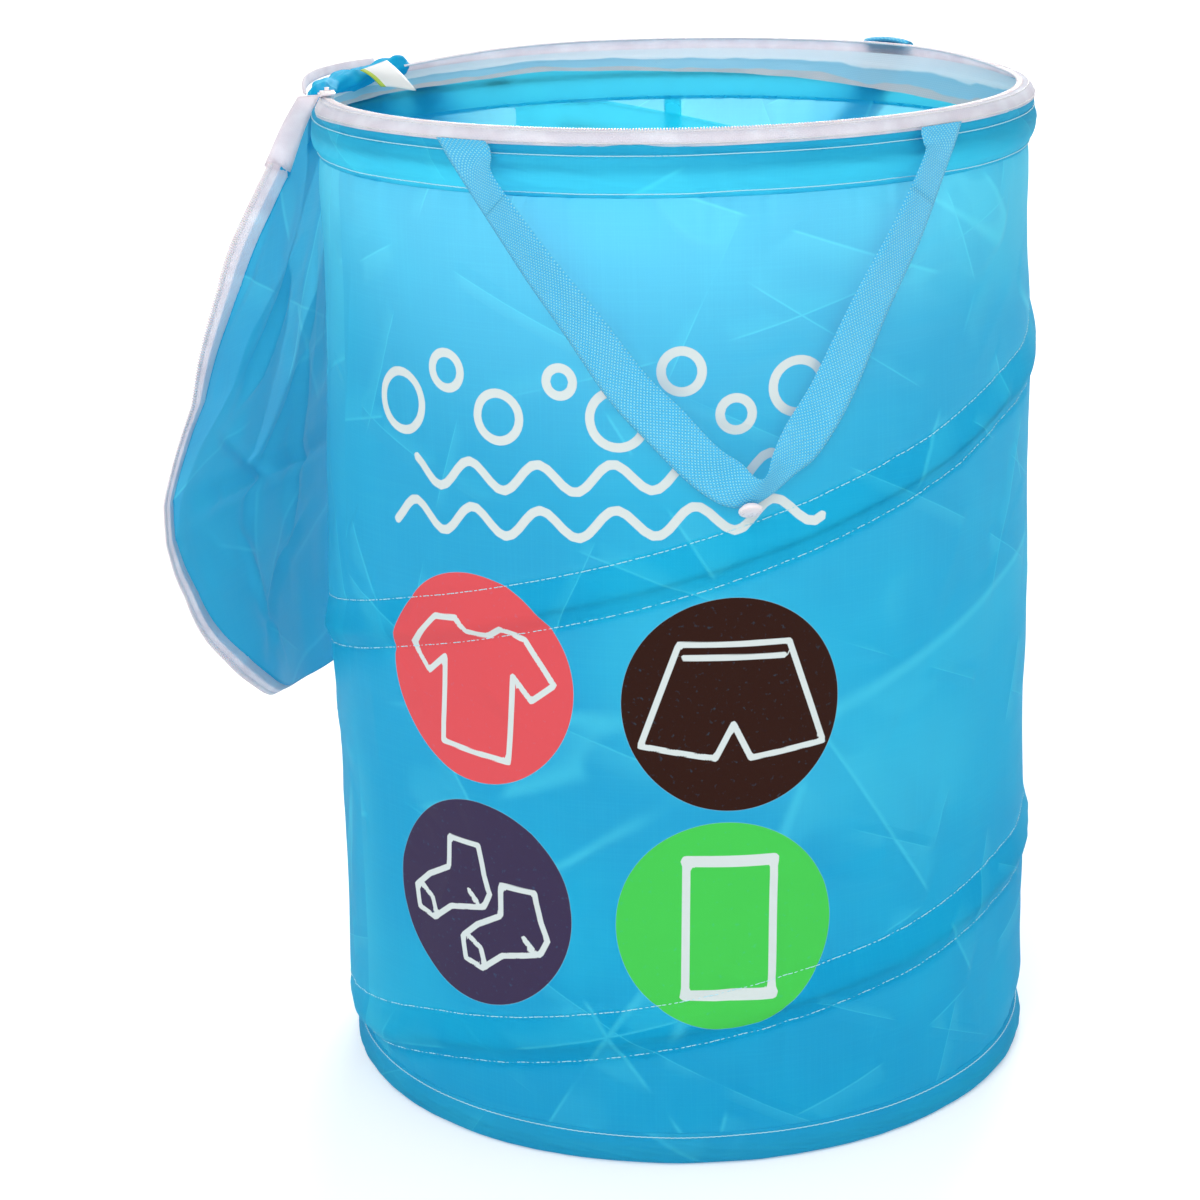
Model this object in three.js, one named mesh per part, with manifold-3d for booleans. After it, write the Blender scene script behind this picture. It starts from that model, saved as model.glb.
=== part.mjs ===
// Pop up laundry hamper: a cloth tube held open by a helical spring wire between two wire rings,
// with a zipped round lid, shown hanging open, and two webbing carry handles.
// Millimetres, +Z up, the origin at the centre of the base, the front at -Y. Azimuths are in
// degrees, counter-clockwise from +X, so the front is at 270.

import * as THREE from 'three';
import { mergeVertices } from 'three/addons/utils/BufferGeometryUtils.js';
import Module from 'manifold-3d';

// Driving dimensions of the body
const wallRadius = 186.6;
const wallHeight = 505.6;
const clothThickness = 0.9;
const clearance = 0.3;

// Spring wire and the casings that hold it
const wireDiameter = 2.2;
const casingThickness = 0.5;
const ferruleWall = 0.3;
const ferruleBoreClearance = 0.3;
const ferruleLength = 15;
const ringWireGap = 1.2;
const baseRingHeight = 6.5;
const baseHemHeight = 15.6;
const hemHeight = 23.4;
const hemRingShare = 0.52;

// Helix of the spring wire: azimuths in degrees and heights as shares of the wall's height
const helixStartAzimuth = 186;
const helixEndAzimuth = 840;
const helixHeightShares = [0.042, 0.179, 0.297, 0.437, 0.611, 0.822, 0.985];
const sleeveLowerWidth = 7.5;
const sleeveUpperWidth = 17.5;
const sleeveReliefWidth = 8;
const sleeveShoulderShare = 0.9;

// Base cloth, seam and lining
const basePanelThickness = 1.2;
const seamWidth = 9;
const seamThickness = 0.8;
const seamAzimuth = 90;
const bindingThickness = 0.7;
const bindingHeight = 12;

// Zip
const coilDiameter = 1.6;
const zipInset = 9.1;
const rimTapeRise = 5.3;
const tapeThickness = 0.6;
const tapeFlatWidth = 5;
const zipHingeGap = 1.6;
const zipStopLength = 2.4;
const zipStopThickness = 2.6;
const sliderParkTurn = 3.4;
const sliderLength = 11;
const sliderInnerWidth = 3.6;
const sliderOuterWidth = 4.6;
const sliderPlateThickness = 1;
const sliderPostWidth = 2;
const eyeOpeningWidth = 2.6;
const eyeOpeningHeight = 2.2;
const eyeWireThickness = 0.9;
const eyeWidth = 2.2;
const pullLength = 15;
const pullWidth = 7.6;
const pullThickness = 1.1;
const pullBarWidth = 1.1;
const pullSlotLength = 3.6;
const pullSideWidth = 1.6;

// Lid
const hingeAzimuth = 160;
const hingeInset = 4.1;
const hingeFrontSpan = 25;
const hingeRearSpan = 12;
const rollRadius = 6;
const rollSwellShares = [0.42, 0.78, 0.94, 0.82, 1, 0.86, 0.97, 0.8, 0.92, 0.74, 0.4];
const lidTapeWidth = 10.5;
const lidLean = 8;
const lidThickness = 1.1;
const lidWallClearance = 0.9;
const lidFoldDepth = 5;
const lidFoldCount = 4;
const lidRingShares = [0.16, 0.34, 0.52, 0.68, 0.8, 0.89, 0.95, 1];
const lidSectors = 48;
const lidTapeGap = 5.5;

// Care label towards the rear end of the hinge
const labelTurn = 6.5;
const labelWidth = 24;
const labelLength = 21;
const labelThickness = 0.5;
const labelSlope = 16;

// Handles: webbing in a V, with a press stud at its lowest point
const webbingWidth = 25;
const webbingThickness = 1.4;
const webbingStandOff = 1.4;
const webbingLayerGap = 0.8;
const neckWidth = 9;
const neckLengthShare = 0.8;
const seamLevelAboveHem = 0.5;
const anchorWidth = 22;
const anchorHeight = 6;
const anchorThickness = 0.7;
const handleDrop = 174;
const frontHandle = { start: 239.4, bottom: 280, end: 310.6 };
const rearHandle = { start: 56, bottom: 98, end: 138 };
const studDiameter = 12;
const studThickness = 2;
const studBaseDiameter = 8.5;
const studBaseThickness = 1.2;
const studTilt = 48;

// Colours
const clothBlue = 0x1fafe1;
const webbingBlue = 0x3ca8eb;
const tapeWhite = 0xebe4e8;
const wireGrey = 0x8d9196;

// How finely the round pieces are stepped
const stepsPerTurn = 60;
const stepAngle = 360 / stepsPerTurn;
const wireSides = 6;
const ferruleSides = 12;
const rollSides = 8;
const studSides = 24;
const strandSteps = 9;
const foldSteps = 4;
const baseFerruleStep = 3.5;
const topFerruleStep = 20.5;

// Sizes that follow from the ones above
const wireRadius = wireDiameter / 2;
const wireCentreRadius = wallRadius + clearance + wireRadius;
const ferruleBore = wireDiameter / 2 + ferruleBoreClearance;
const ferruleRadius = ferruleBore + ferruleWall;
const ringCentreRadius = wallRadius + clearance + ferruleRadius;
const hemDepth = clearance + 2 * ferruleRadius + clearance + casingThickness;
const hemRadius = wallRadius + hemDepth;
const hemBottom = wallHeight + clearance;
const hemTop = hemBottom + hemHeight;
const topRingHeight = hemBottom + hemHeight * hemRingShare;
const coilHeight = hemTop + rimTapeRise;
const coilRadius = coilDiameter / 2;
const rollHeight = hemTop + clearance + rollRadius;
const rimCoilRadius = hemRadius - zipInset;
const hingeRadius = hemRadius - hingeInset;
const hingeSpan = hingeFrontSpan + hingeRearSpan;
const zipStartAzimuth = hingeAzimuth + hingeFrontSpan + zipHingeGap;
const zipSpan = 360 - hingeSpan - 2 * zipHingeGap;
const sliderAzimuth = zipStartAzimuth + sliderParkTurn;
const lidRadius = rimCoilRadius - sliderInnerWidth - 2 * clearance;
const labelAzimuth = hingeAzimuth - labelTurn;
const anchorRadius = hemRadius + clearance;
const handleLevel = hemTop + seamLevelAboveHem;
const webbingRadius = hemRadius + webbingStandOff;
const foldRadius = (webbingThickness + webbingLayerGap) / 2;
const lidPlaneOffset = rollHeight - coilHeight;
const sliderTop = coilRadius + clearance + sliderPlateThickness;

const radians = THREE.MathUtils.degToRad;

function polar(azimuth, radius, height) {
  const angle = radians(azimuth);
  return new THREE.Vector3(radius * Math.cos(angle), radius * Math.sin(angle), height);
}

// A radius on the flat facet that spans two neighbouring steps of the round pieces.
function onFacet(azimuth, radius) {
  const middle = (Math.floor(azimuth / stepAngle) + 0.5) * stepAngle;
  return (radius * Math.cos(radians(stepAngle / 2))) / Math.cos(radians(azimuth - middle));
}

// The two ends of an arc and every whole step between them.
function arcSteps(from, to) {
  const azimuths = [from];
  for (let k = Math.floor(from / stepAngle) + 1; k * stepAngle < to; k++) {
    azimuths.push(k * stepAngle);
  }
  azimuths.push(to);
  return azimuths;
}

// A smooth curve through evenly spaced values.
function smoothThrough(values, share) {
  const last = values.length - 1;
  const position = THREE.MathUtils.clamp(share, 0, 1) * last;
  const index = Math.min(Math.floor(position), last - 1);
  const before = index > 0 ? values[index - 1] : 2 * values[0] - values[1];
  const after = index + 2 <= last ? values[index + 2] : 2 * values[last] - values[last - 1];
  const from = values[index];
  const to = values[index + 1];
  const t = position - index;
  const bend = 2 * before - 5 * from + 4 * to - after;
  const twist = 3 * (from - to) + after - before;
  return 0.5 * (2 * from + (to - before) * t + bend * t * t + twist * t * t * t);
}

// One closed solid from indexed corners, its faces turned outwards.
function closedSolid(corners, triangles) {
  let volume = 0;
  for (const [a, b, c] of triangles) {
    volume += corners[a].dot(corners[b].clone().cross(corners[c]));
  }
  const turned = volume < 0 ? triangles.map(([a, b, c]) => [a, c, b]) : triangles;
  const geometry = new THREE.BufferGeometry().setFromPoints(corners);
  geometry.setIndex(turned.flat());
  geometry.computeVertexNormals();
  return geometry;
}

// A solid through rings of points that are all alike. outline gives the section's flat shape, by
// which the two ends are closed.
function loft(rings, outline) {
  const count = outline.length;
  const triangles = [];
  for (let ring = 0; ring + 1 < rings.length; ring++) {
    for (let k = 0; k < count; k++) {
      const a = ring * count + k;
      const b = ring * count + ((k + 1) % count);
      triangles.push([a, b, b + count], [a, b + count, a + count]);
    }
  }
  const caps = THREE.ShapeUtils.triangulateShape(outline, []);
  const clockwise = THREE.ShapeUtils.isClockWise(outline);
  const far = (rings.length - 1) * count;
  for (const [a, b, c] of caps) {
    const near = clockwise ? [a, b, c] : [a, c, b];
    triangles.push(near);
    triangles.push([near[0] + far, near[2] + far, near[1] + far]);
  }
  return closedSolid(rings.flat(), triangles);
}

// A profile of [radius, height] corners swept about the body's axis over an arc.
function arcBand(profile, from, to) {
  const outline = profile.map(([radius, height]) => new THREE.Vector2(radius, height));
  const rings = arcSteps(from, to).map((azimuth) =>
    profile.map(([radius, height]) => polar(azimuth, onFacet(azimuth, radius), height)));
  return loft(rings, outline);
}

// The same profile turned all the way round.
function fullBand(profile) {
  const outline = profile.map(([radius, height]) => new THREE.Vector2(radius, height));
  if (THREE.ShapeUtils.isClockWise(outline)) {
    outline.reverse();
  }
  return new THREE.LatheGeometry([...outline, outline[0]], stepsPerTurn).rotateX(Math.PI / 2);
}

function roundProfile(centreRadius, centreHeight, radius, sides) {
  const profile = [];
  for (let k = 0; k < sides; k++) {
    const angle = ((k + 0.5) * 2 * Math.PI) / sides;
    profile.push([centreRadius + radius * Math.cos(angle), centreHeight + radius * Math.sin(angle)]);
  }
  return profile;
}

const wasm = await Module();
wasm.setup();

function manifoldOf(geometry) {
  const bare = geometry.clone();
  bare.deleteAttribute('normal');
  bare.deleteAttribute('uv');
  const merged = mergeVertices(bare.index ? bare.toNonIndexed() : bare);
  return new wasm.Manifold(new wasm.Mesh({
    numProp: 3,
    vertProperties: new Float32Array(merged.attributes.position.array),
    triVerts: new Uint32Array(merged.index.array),
  }));
}

function geometryOf(manifold) {
  const mesh = manifold.getMesh();
  const geometry = new THREE.BufferGeometry();
  geometry.setAttribute('position', new THREE.BufferAttribute(new Float32Array(mesh.vertProperties), 3));
  geometry.setIndex(new THREE.BufferAttribute(new Uint32Array(mesh.triVerts), 1));
  geometry.computeVertexNormals();
  return geometry;
}

function joined(...geometries) {
  return geometryOf(geometries.map(manifoldOf).reduce((sum, next) => sum.add(next)));
}

const hamper = new THREE.Group();
const finishes = {
  cloth: { color: clothBlue, roughness: 0.55, metalness: 0 },
  webbing: { color: webbingBlue, roughness: 0.8, metalness: 0 },
  tape: { color: tapeWhite, roughness: 0.75, metalness: 0 },
  plastic: { color: tapeWhite, roughness: 0.35, metalness: 0 },
  wire: { color: wireGrey, roughness: 0.3, metalness: 0.9 },
};

function add(name, geometry, finish, parent = hamper) {
  const mesh = new THREE.Mesh(geometry, new THREE.MeshStandardMaterial(finishes[finish]));
  mesh.name = name;
  parent.add(mesh);
  return mesh;
}

// Base cloth, a disc that lies on the floor inside the wall
function basePanel() {
  const radius = wallRadius - clothThickness - clearance;
  return fullBand([[0, 0], [radius, 0], [radius, basePanelThickness], [0, basePanelThickness]]);
}

// Side wall, one tube of cloth
function sideWall() {
  const inner = wallRadius - clothThickness;
  return fullBand([[inner, 0], [wallRadius, 0], [wallRadius, wallHeight], [inner, wallHeight]]);
}

// The wall's closing seam, a doubled strip down the inside of the back
function sideSeam() {
  const outer = wallRadius - clothThickness - clearance;
  const inner = outer - seamThickness;
  const halfAngle = THREE.MathUtils.radToDeg(seamWidth / 2 / wallRadius);
  const foot = basePanelThickness + clearance;
  const profile = [[inner, foot], [outer, foot], [outer, wallHeight], [inner, wallHeight]];
  return arcBand(profile, seamAzimuth - halfAngle, seamAzimuth + halfAngle);
}

// A hem casing, open towards the wall, that holds a ring of wire at ringHeight
function hemCasing(shutHeight, openHeight, ringHeight) {
  const up = Math.sign(openHeight - shutHeight);
  const flat = wallRadius + clearance;
  const crest = hemRadius;
  const shoulder = crest - casingThickness * 2;
  const rise = up * ferruleRadius;
  const skin = up * casingThickness;
  const flare = flat + casingThickness * 2;
  return fullBand([
    [flat, openHeight], [flare, openHeight], [crest, ringHeight + rise], [crest, ringHeight - rise],
    [shoulder, shutHeight], [flat, shutHeight], [flat, shutHeight + skin],
    [shoulder - casingThickness, shutHeight + skin], [crest - casingThickness, ringHeight - rise],
    [crest - casingThickness, ringHeight + rise], [flat + casingThickness, openHeight - 3 * skin],
    [flat, openHeight - 3 * skin],
  ]);
}

// A ring of spring wire whose two ends meet in a ferrule
function ringWire(height, azimuth) {
  const profile = roundProfile(ringCentreRadius, height, wireRadius, wireSides);
  const halfGap = THREE.MathUtils.radToDeg(ringWireGap / 2 / ringCentreRadius);
  return arcBand(profile, azimuth + halfGap, azimuth + 360 - halfGap);
}

// The ferrule is a plain tube over the two wire ends, on a straight facet of the ring.
function ferrule(height, azimuth) {
  const shape = new THREE.Shape().absarc(0, 0, ferruleRadius, 0, 2 * Math.PI);
  shape.holes.push(new THREE.Path().absarc(0, 0, ferruleBore, 0, 2 * Math.PI, true));
  const tube = new THREE.ExtrudeGeometry(shape, {
    depth: ferruleLength, bevelEnabled: false, curveSegments: ferruleSides,
  });
  tube.translate(0, 0, -ferruleLength / 2).rotateX(Math.PI / 2);
  const centre = polar(azimuth, onFacet(azimuth, ringCentreRadius), height);
  return tube.rotateZ(radians(azimuth)).translate(centre.x, centre.y, centre.z);
}

function helixHeight(azimuth) {
  const share = (azimuth - helixStartAzimuth) / (helixEndAzimuth - helixStartAzimuth);
  return wallHeight * smoothThrough(helixHeightShares, share);
}

// The helix of spring wire that pushes the two rings apart, one unbroken tube
function helixWire() {
  const outline = roundProfile(0, 0, wireRadius, wireSides);
  const rings = arcSteps(helixStartAzimuth, helixEndAzimuth).map((azimuth) =>
    outline.map(([across, up]) =>
      polar(azimuth, wireCentreRadius + across, helixHeight(azimuth) + up)));
  return loft(rings, outline.map(([across, up]) => new THREE.Vector2(across, up)));
}

function leastGapOfHelix() {
  const points = arcSteps(helixStartAzimuth, helixEndAzimuth)
    .map((azimuth) => polar(azimuth, wireCentreRadius, helixHeight(azimuth)));
  let least = Infinity;
  for (let a = 0; a < points.length; a++) {
    for (let b = a + stepsPerTurn / 2; b < points.length; b++) {
      least = Math.min(least, points[a].distanceTo(points[b]));
    }
  }
  return least - wireDiameter;
}

// The strip of cloth sewn over the helix, flat on the wall at both edges and lifted by the wire
function helixSleeve() {
  const lift = clearance + wireDiameter + clearance;
  const relief = wireRadius + casingThickness;
  const shoulder = lift / 2 + clearance;
  const section = (azimuth) => {
    const height = helixHeight(azimuth);
    const low = -Math.min(sleeveLowerWidth, height - baseHemHeight - clearance);
    const high = Math.min(sleeveUpperWidth, wallHeight - height - clearance);
    const slope = Math.min(sleeveReliefWidth, high) * sleeveShoulderShare;
    return [
      [clearance, low], [lift, -relief], [lift, relief], [shoulder, slope], [clearance, high],
      [clearance + casingThickness, high], [shoulder + casingThickness, slope],
      [lift + casingThickness, relief], [lift + casingThickness, -relief],
      [clearance + casingThickness, low],
    ];
  };
  const outline = section(helixStartAzimuth).map(([across, up]) => new THREE.Vector2(across, up));
  const rings = arcSteps(helixStartAzimuth, helixEndAzimuth).map((azimuth) =>
    section(azimuth).map(([across, up]) =>
      polar(azimuth, wallRadius + across, helixHeight(azimuth) + up)));
  return loft(rings, outline);
}

// White binding that faces the inside of the top hem
function innerBinding() {
  const outer = wallRadius - clearance;
  const inner = outer - bindingThickness;
  const foot = hemTop - bindingHeight;
  return fullBand([[inner, foot], [outer, foot], [outer, hemTop], [inner, hemTop]]);
}

// Zip tape of the rim: it stands on the hem, leans inwards and lies flat by the coil
function rimZipTape() {
  const foot = hemRadius - casingThickness * 2;
  const inner = rimCoilRadius + coilRadius + clearance / 2;
  const bend = inner + tapeFlatWidth;
  const low = hemTop + clearance;
  const top = coilHeight + tapeThickness / 2;
  const under = top - tapeThickness;
  const profile = [
    [foot - tapeThickness, low], [foot, low], [bend, top],
    [inner, top], [inner, under], [bend - tapeThickness, under],
  ];
  return arcBand(profile, zipStartAzimuth, zipStartAzimuth + zipSpan);
}

function rimZipCoil() {
  const profile = roundProfile(rimCoilRadius, coilHeight, coilRadius, wireSides);
  return arcBand(profile, zipStartAzimuth, zipStartAzimuth + zipSpan);
}

// A stop beside each end of the rim coil
function zipStop(azimuth) {
  const box = new THREE.BoxGeometry(zipStopThickness, zipStopLength, zipStopThickness);
  const centre = polar(azimuth, rimCoilRadius, coilHeight);
  return box.rotateZ(radians(azimuth)).translate(centre.x, centre.y, centre.z);
}

// The radius of the rolled cloth at an azimuth within the hinge
function rollReach(azimuth) {
  const share = (hingeAzimuth + hingeFrontSpan - azimuth) / hingeSpan;
  return rollRadius * smoothThrough(rollSwellShares, share);
}

// Gathered cloth rolled along the rim, to which the lid is sewn
function hingeRoll() {
  const outline = roundProfile(0, 0, 1, rollSides).map(([across, up]) => new THREE.Vector2(across, up));
  const stations = 2 * (rollSwellShares.length - 1);
  const rings = [];
  for (let k = 0; k <= stations; k++) {
    const azimuth = hingeAzimuth + hingeFrontSpan - (hingeSpan * k) / stations;
    const reach = rollReach(azimuth);
    rings.push(outline.map((point) =>
      polar(azimuth, hingeRadius + reach * point.x, rollHeight + reach * point.y)));
  }
  return loft(rings, outline);
}

// The lid's own frame: across runs along the hinge line, down runs away from it along the hanging
// lid, and out stands off the plane of the lid.
const hingeOut = polar(hingeAzimuth, 1, 0);
const hingeAlong = new THREE.Vector3(hingeOut.y, -hingeOut.x, 0);
const lidDown = new THREE.Vector3(0, 0, -1).applyAxisAngle(hingeAlong, radians(lidLean));
const lidOut = hingeOut.clone().applyAxisAngle(hingeAlong, radians(lidLean));
const hingePoint = polar(hingeAzimuth, hingeRadius, rollHeight);

// How far the lid stands off its plane: round the hem at the top, and in folds below
function lidStandOff(across, down) {
  const fade = THREE.MathUtils.smoothstep(down, hemHeight, 2 * hemHeight);
  const keepOut = THREE.MathUtils.lerp(hemRadius, wallRadius + clearance, fade) + lidWallClearance;
  const hemLine = Math.sqrt(Math.max(0, keepOut * keepOut - across * across)) - hingeRadius;
  const lean = Math.tan(radians(lidLean)) * down;
  const round = Math.max(lidPlaneOffset, hemLine - lean);
  const turn = Math.atan2(across + lidRadius, down + lidRadius);
  const body = THREE.MathUtils.smoothstep(down, hemHeight, 4 * hemHeight);
  const rightAnglesPerTurn = 4;
  const fold = 0.5 - 0.5 * Math.cos(turn * lidFoldCount * rightAnglesPerTurn);
  return round + lidFoldDepth * body * fold;
}

function onLid(across, down, lift) {
  return hingePoint.clone()
    .addScaledVector(hingeAlong, across)
    .addScaledVector(lidDown, down)
    .addScaledVector(lidOut, lidStandOff(across, down) + lift);
}

// Lid cloth, a thin disc shaped by its main folds. It ends at the tape, or at the roll of the hinge.
function lidPanel() {
  const atTape = lidRadius - coilDiameter - lidTapeWidth - 2 * clearance;
  const atRoll = hingeRadius - rollRadius - clearance;
  const rearTurn = radians(hingeRearSpan);
  const frontTurn = radians(360 - hingeFrontSpan);
  const corners = [];
  const triangles = [];
  for (const lift of [0, lidThickness]) {
    corners.push(onLid(0, hingeRadius, lift));
    for (const share of lidRingShares) {
      for (let k = 0; k < lidSectors; k++) {
        const turn = (k * 2 * Math.PI) / lidSectors;
        const radius = turn < rearTurn || turn > frontTurn ? atRoll : atTape;
        const across = radius * share * Math.sin(turn);
        corners.push(onLid(across, hingeRadius - radius * share * Math.cos(turn), lift));
      }
    }
  }
  const layer = 1 + lidRingShares.length * lidSectors;
  const at = (side, ring, k) => side * layer + 1 + ring * lidSectors + (k % lidSectors);
  for (let k = 0; k < lidSectors; k++) {
    triangles.push([0, at(0, 0, k + 1), at(0, 0, k)]);
    triangles.push([layer, at(1, 0, k), at(1, 0, k + 1)]);
    for (let ring = 0; ring + 1 < lidRingShares.length; ring++) {
      const [a, b, c, d] = [at(0, ring, k), at(0, ring, k + 1), at(0, ring + 1, k), at(0, ring + 1, k + 1)];
      triangles.push([a, b, d], [a, d, c]);
      triangles.push([a + layer, d + layer, b + layer], [a + layer, c + layer, d + layer]);
    }
    const rim = lidRingShares.length - 1;
    triangles.push([at(0, rim, k), at(0, rim, k + 1), at(1, rim, k + 1)]);
    triangles.push([at(0, rim, k), at(1, rim, k + 1), at(1, rim, k)]);
  }
  return closedSolid(corners, triangles);
}

// A band that follows the lid's edge, from one end of the hinge round to the other
function lidEdgeBand(section) {
  const outline = section.map(([outward, lift]) => new THREE.Vector2(outward, lift));
  const from = hingeRearSpan + lidTapeGap;
  const to = 360 - hingeFrontSpan - lidTapeGap;
  const rings = arcSteps(from, to).map((turn) => {
    const angle = radians(turn);
    return section.map(([radius, lift]) =>
      onLid(radius * Math.sin(angle), hingeRadius - radius * Math.cos(angle), lift));
  });
  return loft(rings, outline);
}

function lidZipTape() {
  const outer = lidRadius - coilDiameter - clearance;
  const inner = outer - lidTapeWidth;
  const low = (lidThickness - tapeThickness) / 2;
  const high = low + tapeThickness;
  return lidEdgeBand([[inner, low], [outer, low], [outer, high], [inner, high]]);
}

function lidZipCoil() {
  return lidEdgeBand(roundProfile(lidRadius - coilRadius, 0, coilRadius, wireSides));
}

// Slider: two plates joined by a post, with an eye on top for the pull
function zipSlider() {
  const inner = rimCoilRadius - sliderInnerWidth;
  const outer = rimCoilRadius + sliderOuterWidth;
  const postInner = inner + clearance;
  const reach = coilRadius + clearance;
  const tall = sliderTop;
  const section = new THREE.Shape([
    [inner, -tall], [outer - 2 * sliderPlateThickness, -tall], [outer - 2 * sliderPlateThickness, -reach],
    [postInner + sliderPostWidth, -reach], [postInner + sliderPostWidth, reach], [outer, reach],
    [outer, tall], [inner, tall], [inner, reach], [postInner, reach], [postInner, -reach], [inner, -reach],
  ].map(([radius, height]) => new THREE.Vector2(radius, height)));
  const plates = new THREE.ExtrudeGeometry(section, { depth: sliderLength, bevelEnabled: false });
  plates.rotateX(Math.PI / 2).translate(0, sliderLength / 2, 0);
  const half = eyeOpeningWidth / 2;
  const side = half + eyeWireThickness;
  const foot = reach + sliderPlateThickness / 2;
  const sill = tall + eyeOpeningHeight;
  const arch = new THREE.Shape([
    [-side, foot], [-half, foot], [-half, sill], [half, sill], [half, foot], [side, foot],
    [side, sill], [half, sill + eyeWireThickness], [-half, sill + eyeWireThickness], [-side, sill],
  ].map(([along, height]) => new THREE.Vector2(along, height)));
  const eye = new THREE.ExtrudeGeometry(arch, { depth: eyeWidth, bevelEnabled: false });
  eye.translate(0, 0, rimCoilRadius - eyeWidth / 2).rotateX(Math.PI / 2).rotateZ(Math.PI / 2);
  return joined(plates, eye);
}

// Pull: a flat tab whose crossbar runs through the slider's eye
function zipPull() {
  const half = pullWidth / 2;
  const barHalf = pullBarWidth / 2;
  const corner = pullWidth / 4;
  const tab = new THREE.Shape();
  tab.moveTo(-half, -barHalf);
  tab.lineTo(half, -barHalf);
  tab.lineTo(half, pullLength - corner);
  tab.lineTo(half - corner, pullLength);
  tab.lineTo(-half + corner, pullLength);
  tab.lineTo(-half, pullLength - corner);
  const slotHalf = half - pullSideWidth;
  tab.holes.push(new THREE.Path([
    [-slotHalf, barHalf], [-slotHalf, barHalf + pullSlotLength],
    [slotHalf, barHalf + pullSlotLength], [slotHalf, barHalf],
  ].map(([across, along]) => new THREE.Vector2(across, along))));
  const geometry = new THREE.ExtrudeGeometry(tab, { depth: pullThickness, bevelEnabled: false });
  return geometry.translate(rimCoilRadius, 0, 0);
}

// Label sewn to the rear end of the rolled hinge, hanging into the mouth. The corner of its top edge
// that is farther along the hinge meets the roll.
function careLabel() {
  const label = new THREE.BoxGeometry(labelThickness, labelWidth, labelLength);
  label.translate(-labelThickness / 2, 0, -labelLength / 2).rotateY(radians(labelSlope));
  const top = coilHeight - coilDiameter;
  const half = labelWidth / 2;
  const reach = rollReach(labelAzimuth + THREE.MathUtils.radToDeg(half / hingeRadius));
  const corner = hingeRadius - Math.sqrt(reach ** 2 - (rollHeight - top) ** 2) - clearance;
  const place = polar(labelAzimuth, Math.sqrt(corner ** 2 - half ** 2), top);
  return label.rotateZ(radians(labelAzimuth)).translate(place.x, place.y, place.z);
}

// The end of a handle's webbing, folded and sewn flat on the hem
function handleAnchor(azimuth) {
  const block = new THREE.BoxGeometry(anchorThickness, anchorWidth, anchorHeight);
  const place = polar(azimuth, anchorRadius + anchorThickness / 2, handleLevel - anchorHeight / 2);
  return block.rotateZ(radians(azimuth)).translate(place.x, place.y, place.z);
}

// The line on which a handle swings runs through the middles of its two ends.
function handleAxis({ start, end }) {
  const halfSpan = radians((end - start) / 2);
  const inset = (neckWidth / 2) * Math.sin(halfSpan) + webbingThickness / 2;
  const radius = anchorRadius + anchorThickness + clearance + inset;
  const from = polar(start, radius, handleLevel);
  const to = polar(end, radius, handleLevel);
  return { radius, from, to, along: to.clone().sub(from).normalize() };
}

// Webbing that runs down from its first end, folds over at the bottom and runs up to its other end
// with its other face outwards
function handleWebbing(handle) {
  const axis = handleAxis(handle);
  const half = webbingThickness / 2;
  const low = handleLevel - handleDrop;
  const rings = [];
  const addRing = (centre, across, through) => {
    const corners = [[-1, -1], [1, -1], [1, 1], [-1, 1]];
    rings.push(corners.map(([a, b]) =>
      centre.clone().addScaledVector(across, a).addScaledVector(through, b)));
  };
  const strand = (end, restRadius, reversed) => {
    const arc = radians(handle.bottom - end) * webbingRadius;
    const slant = Math.hypot(arc, handleDrop) / handleDrop;
    for (let k = 0; k <= strandSteps; k++) {
      const share = reversed ? 1 - k / strandSteps : k / strandSteps;
      const spread = THREE.MathUtils.smoothstep(share, 0, neckLengthShare);
      const azimuth = THREE.MathUtils.lerp(end, handle.bottom, share);
      const radius = THREE.MathUtils.lerp(axis.radius, restRadius, spread);
      const height = handleLevel - handleDrop * share;
      const centre = polar(azimuth, radius, height);
      const tangent = polar(azimuth + 90, 1, 0);
      const across = axis.along.clone().lerp(tangent, spread).normalize();
      const through = new THREE.Vector3(across.y, -across.x, 0).multiplyScalar(reversed ? -1 : 1);
      const width = THREE.MathUtils.lerp(neckWidth, webbingWidth * slant, spread);
      addRing(centre, across.multiplyScalar(width / 2), through.multiplyScalar(half));
    }
    return slant;
  };
  const slant = strand(handle.start, webbingRadius, false);
  const tangent = polar(handle.bottom + 90, 1, 0);
  const outward = polar(handle.bottom, 1, 0);
  for (let k = 1; k < foldSteps; k++) {
    const turn = (Math.PI * k) / foldSteps;
    const centre = polar(handle.bottom, webbingRadius + foldRadius, low)
      .addScaledVector(outward, -foldRadius * Math.cos(turn));
    centre.z -= foldRadius * Math.sin(turn);
    const through = outward.clone().multiplyScalar(half * Math.cos(turn));
    through.z = half * Math.sin(turn);
    addRing(centre, tangent.clone().multiplyScalar((webbingWidth * slant) / 2), through);
  }
  strand(handle.end, webbingRadius + 2 * foldRadius, true);
  const outline = [[-1, -1], [1, -1], [1, 1], [-1, 1]].map(([a, b]) => new THREE.Vector2(a, b));
  return loft(rings, outline);
}

// One half of a press stud under the fold of a handle, its axis tilted down and outwards
function pressStud(handle, diameter, thickness, distance) {
  const half = thickness / 2;
  const crown = diameter / 2;
  const profile = [
    [0, -half], [crown, -half], [crown, half / 2], [crown - half, half], [0, half],
  ].map(([radius, height]) => new THREE.Vector2(radius, height));
  const stud = new THREE.LatheGeometry(profile, studSides).rotateX(Math.PI / 2);
  stud.translate(0, 0, distance + half).rotateY(radians(90 + studTilt));
  const place = polar(handle.bottom, webbingRadius + foldRadius, handleLevel - handleDrop);
  return stud.rotateZ(radians(handle.bottom)).translate(place.x, place.y, place.z);
}

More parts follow.
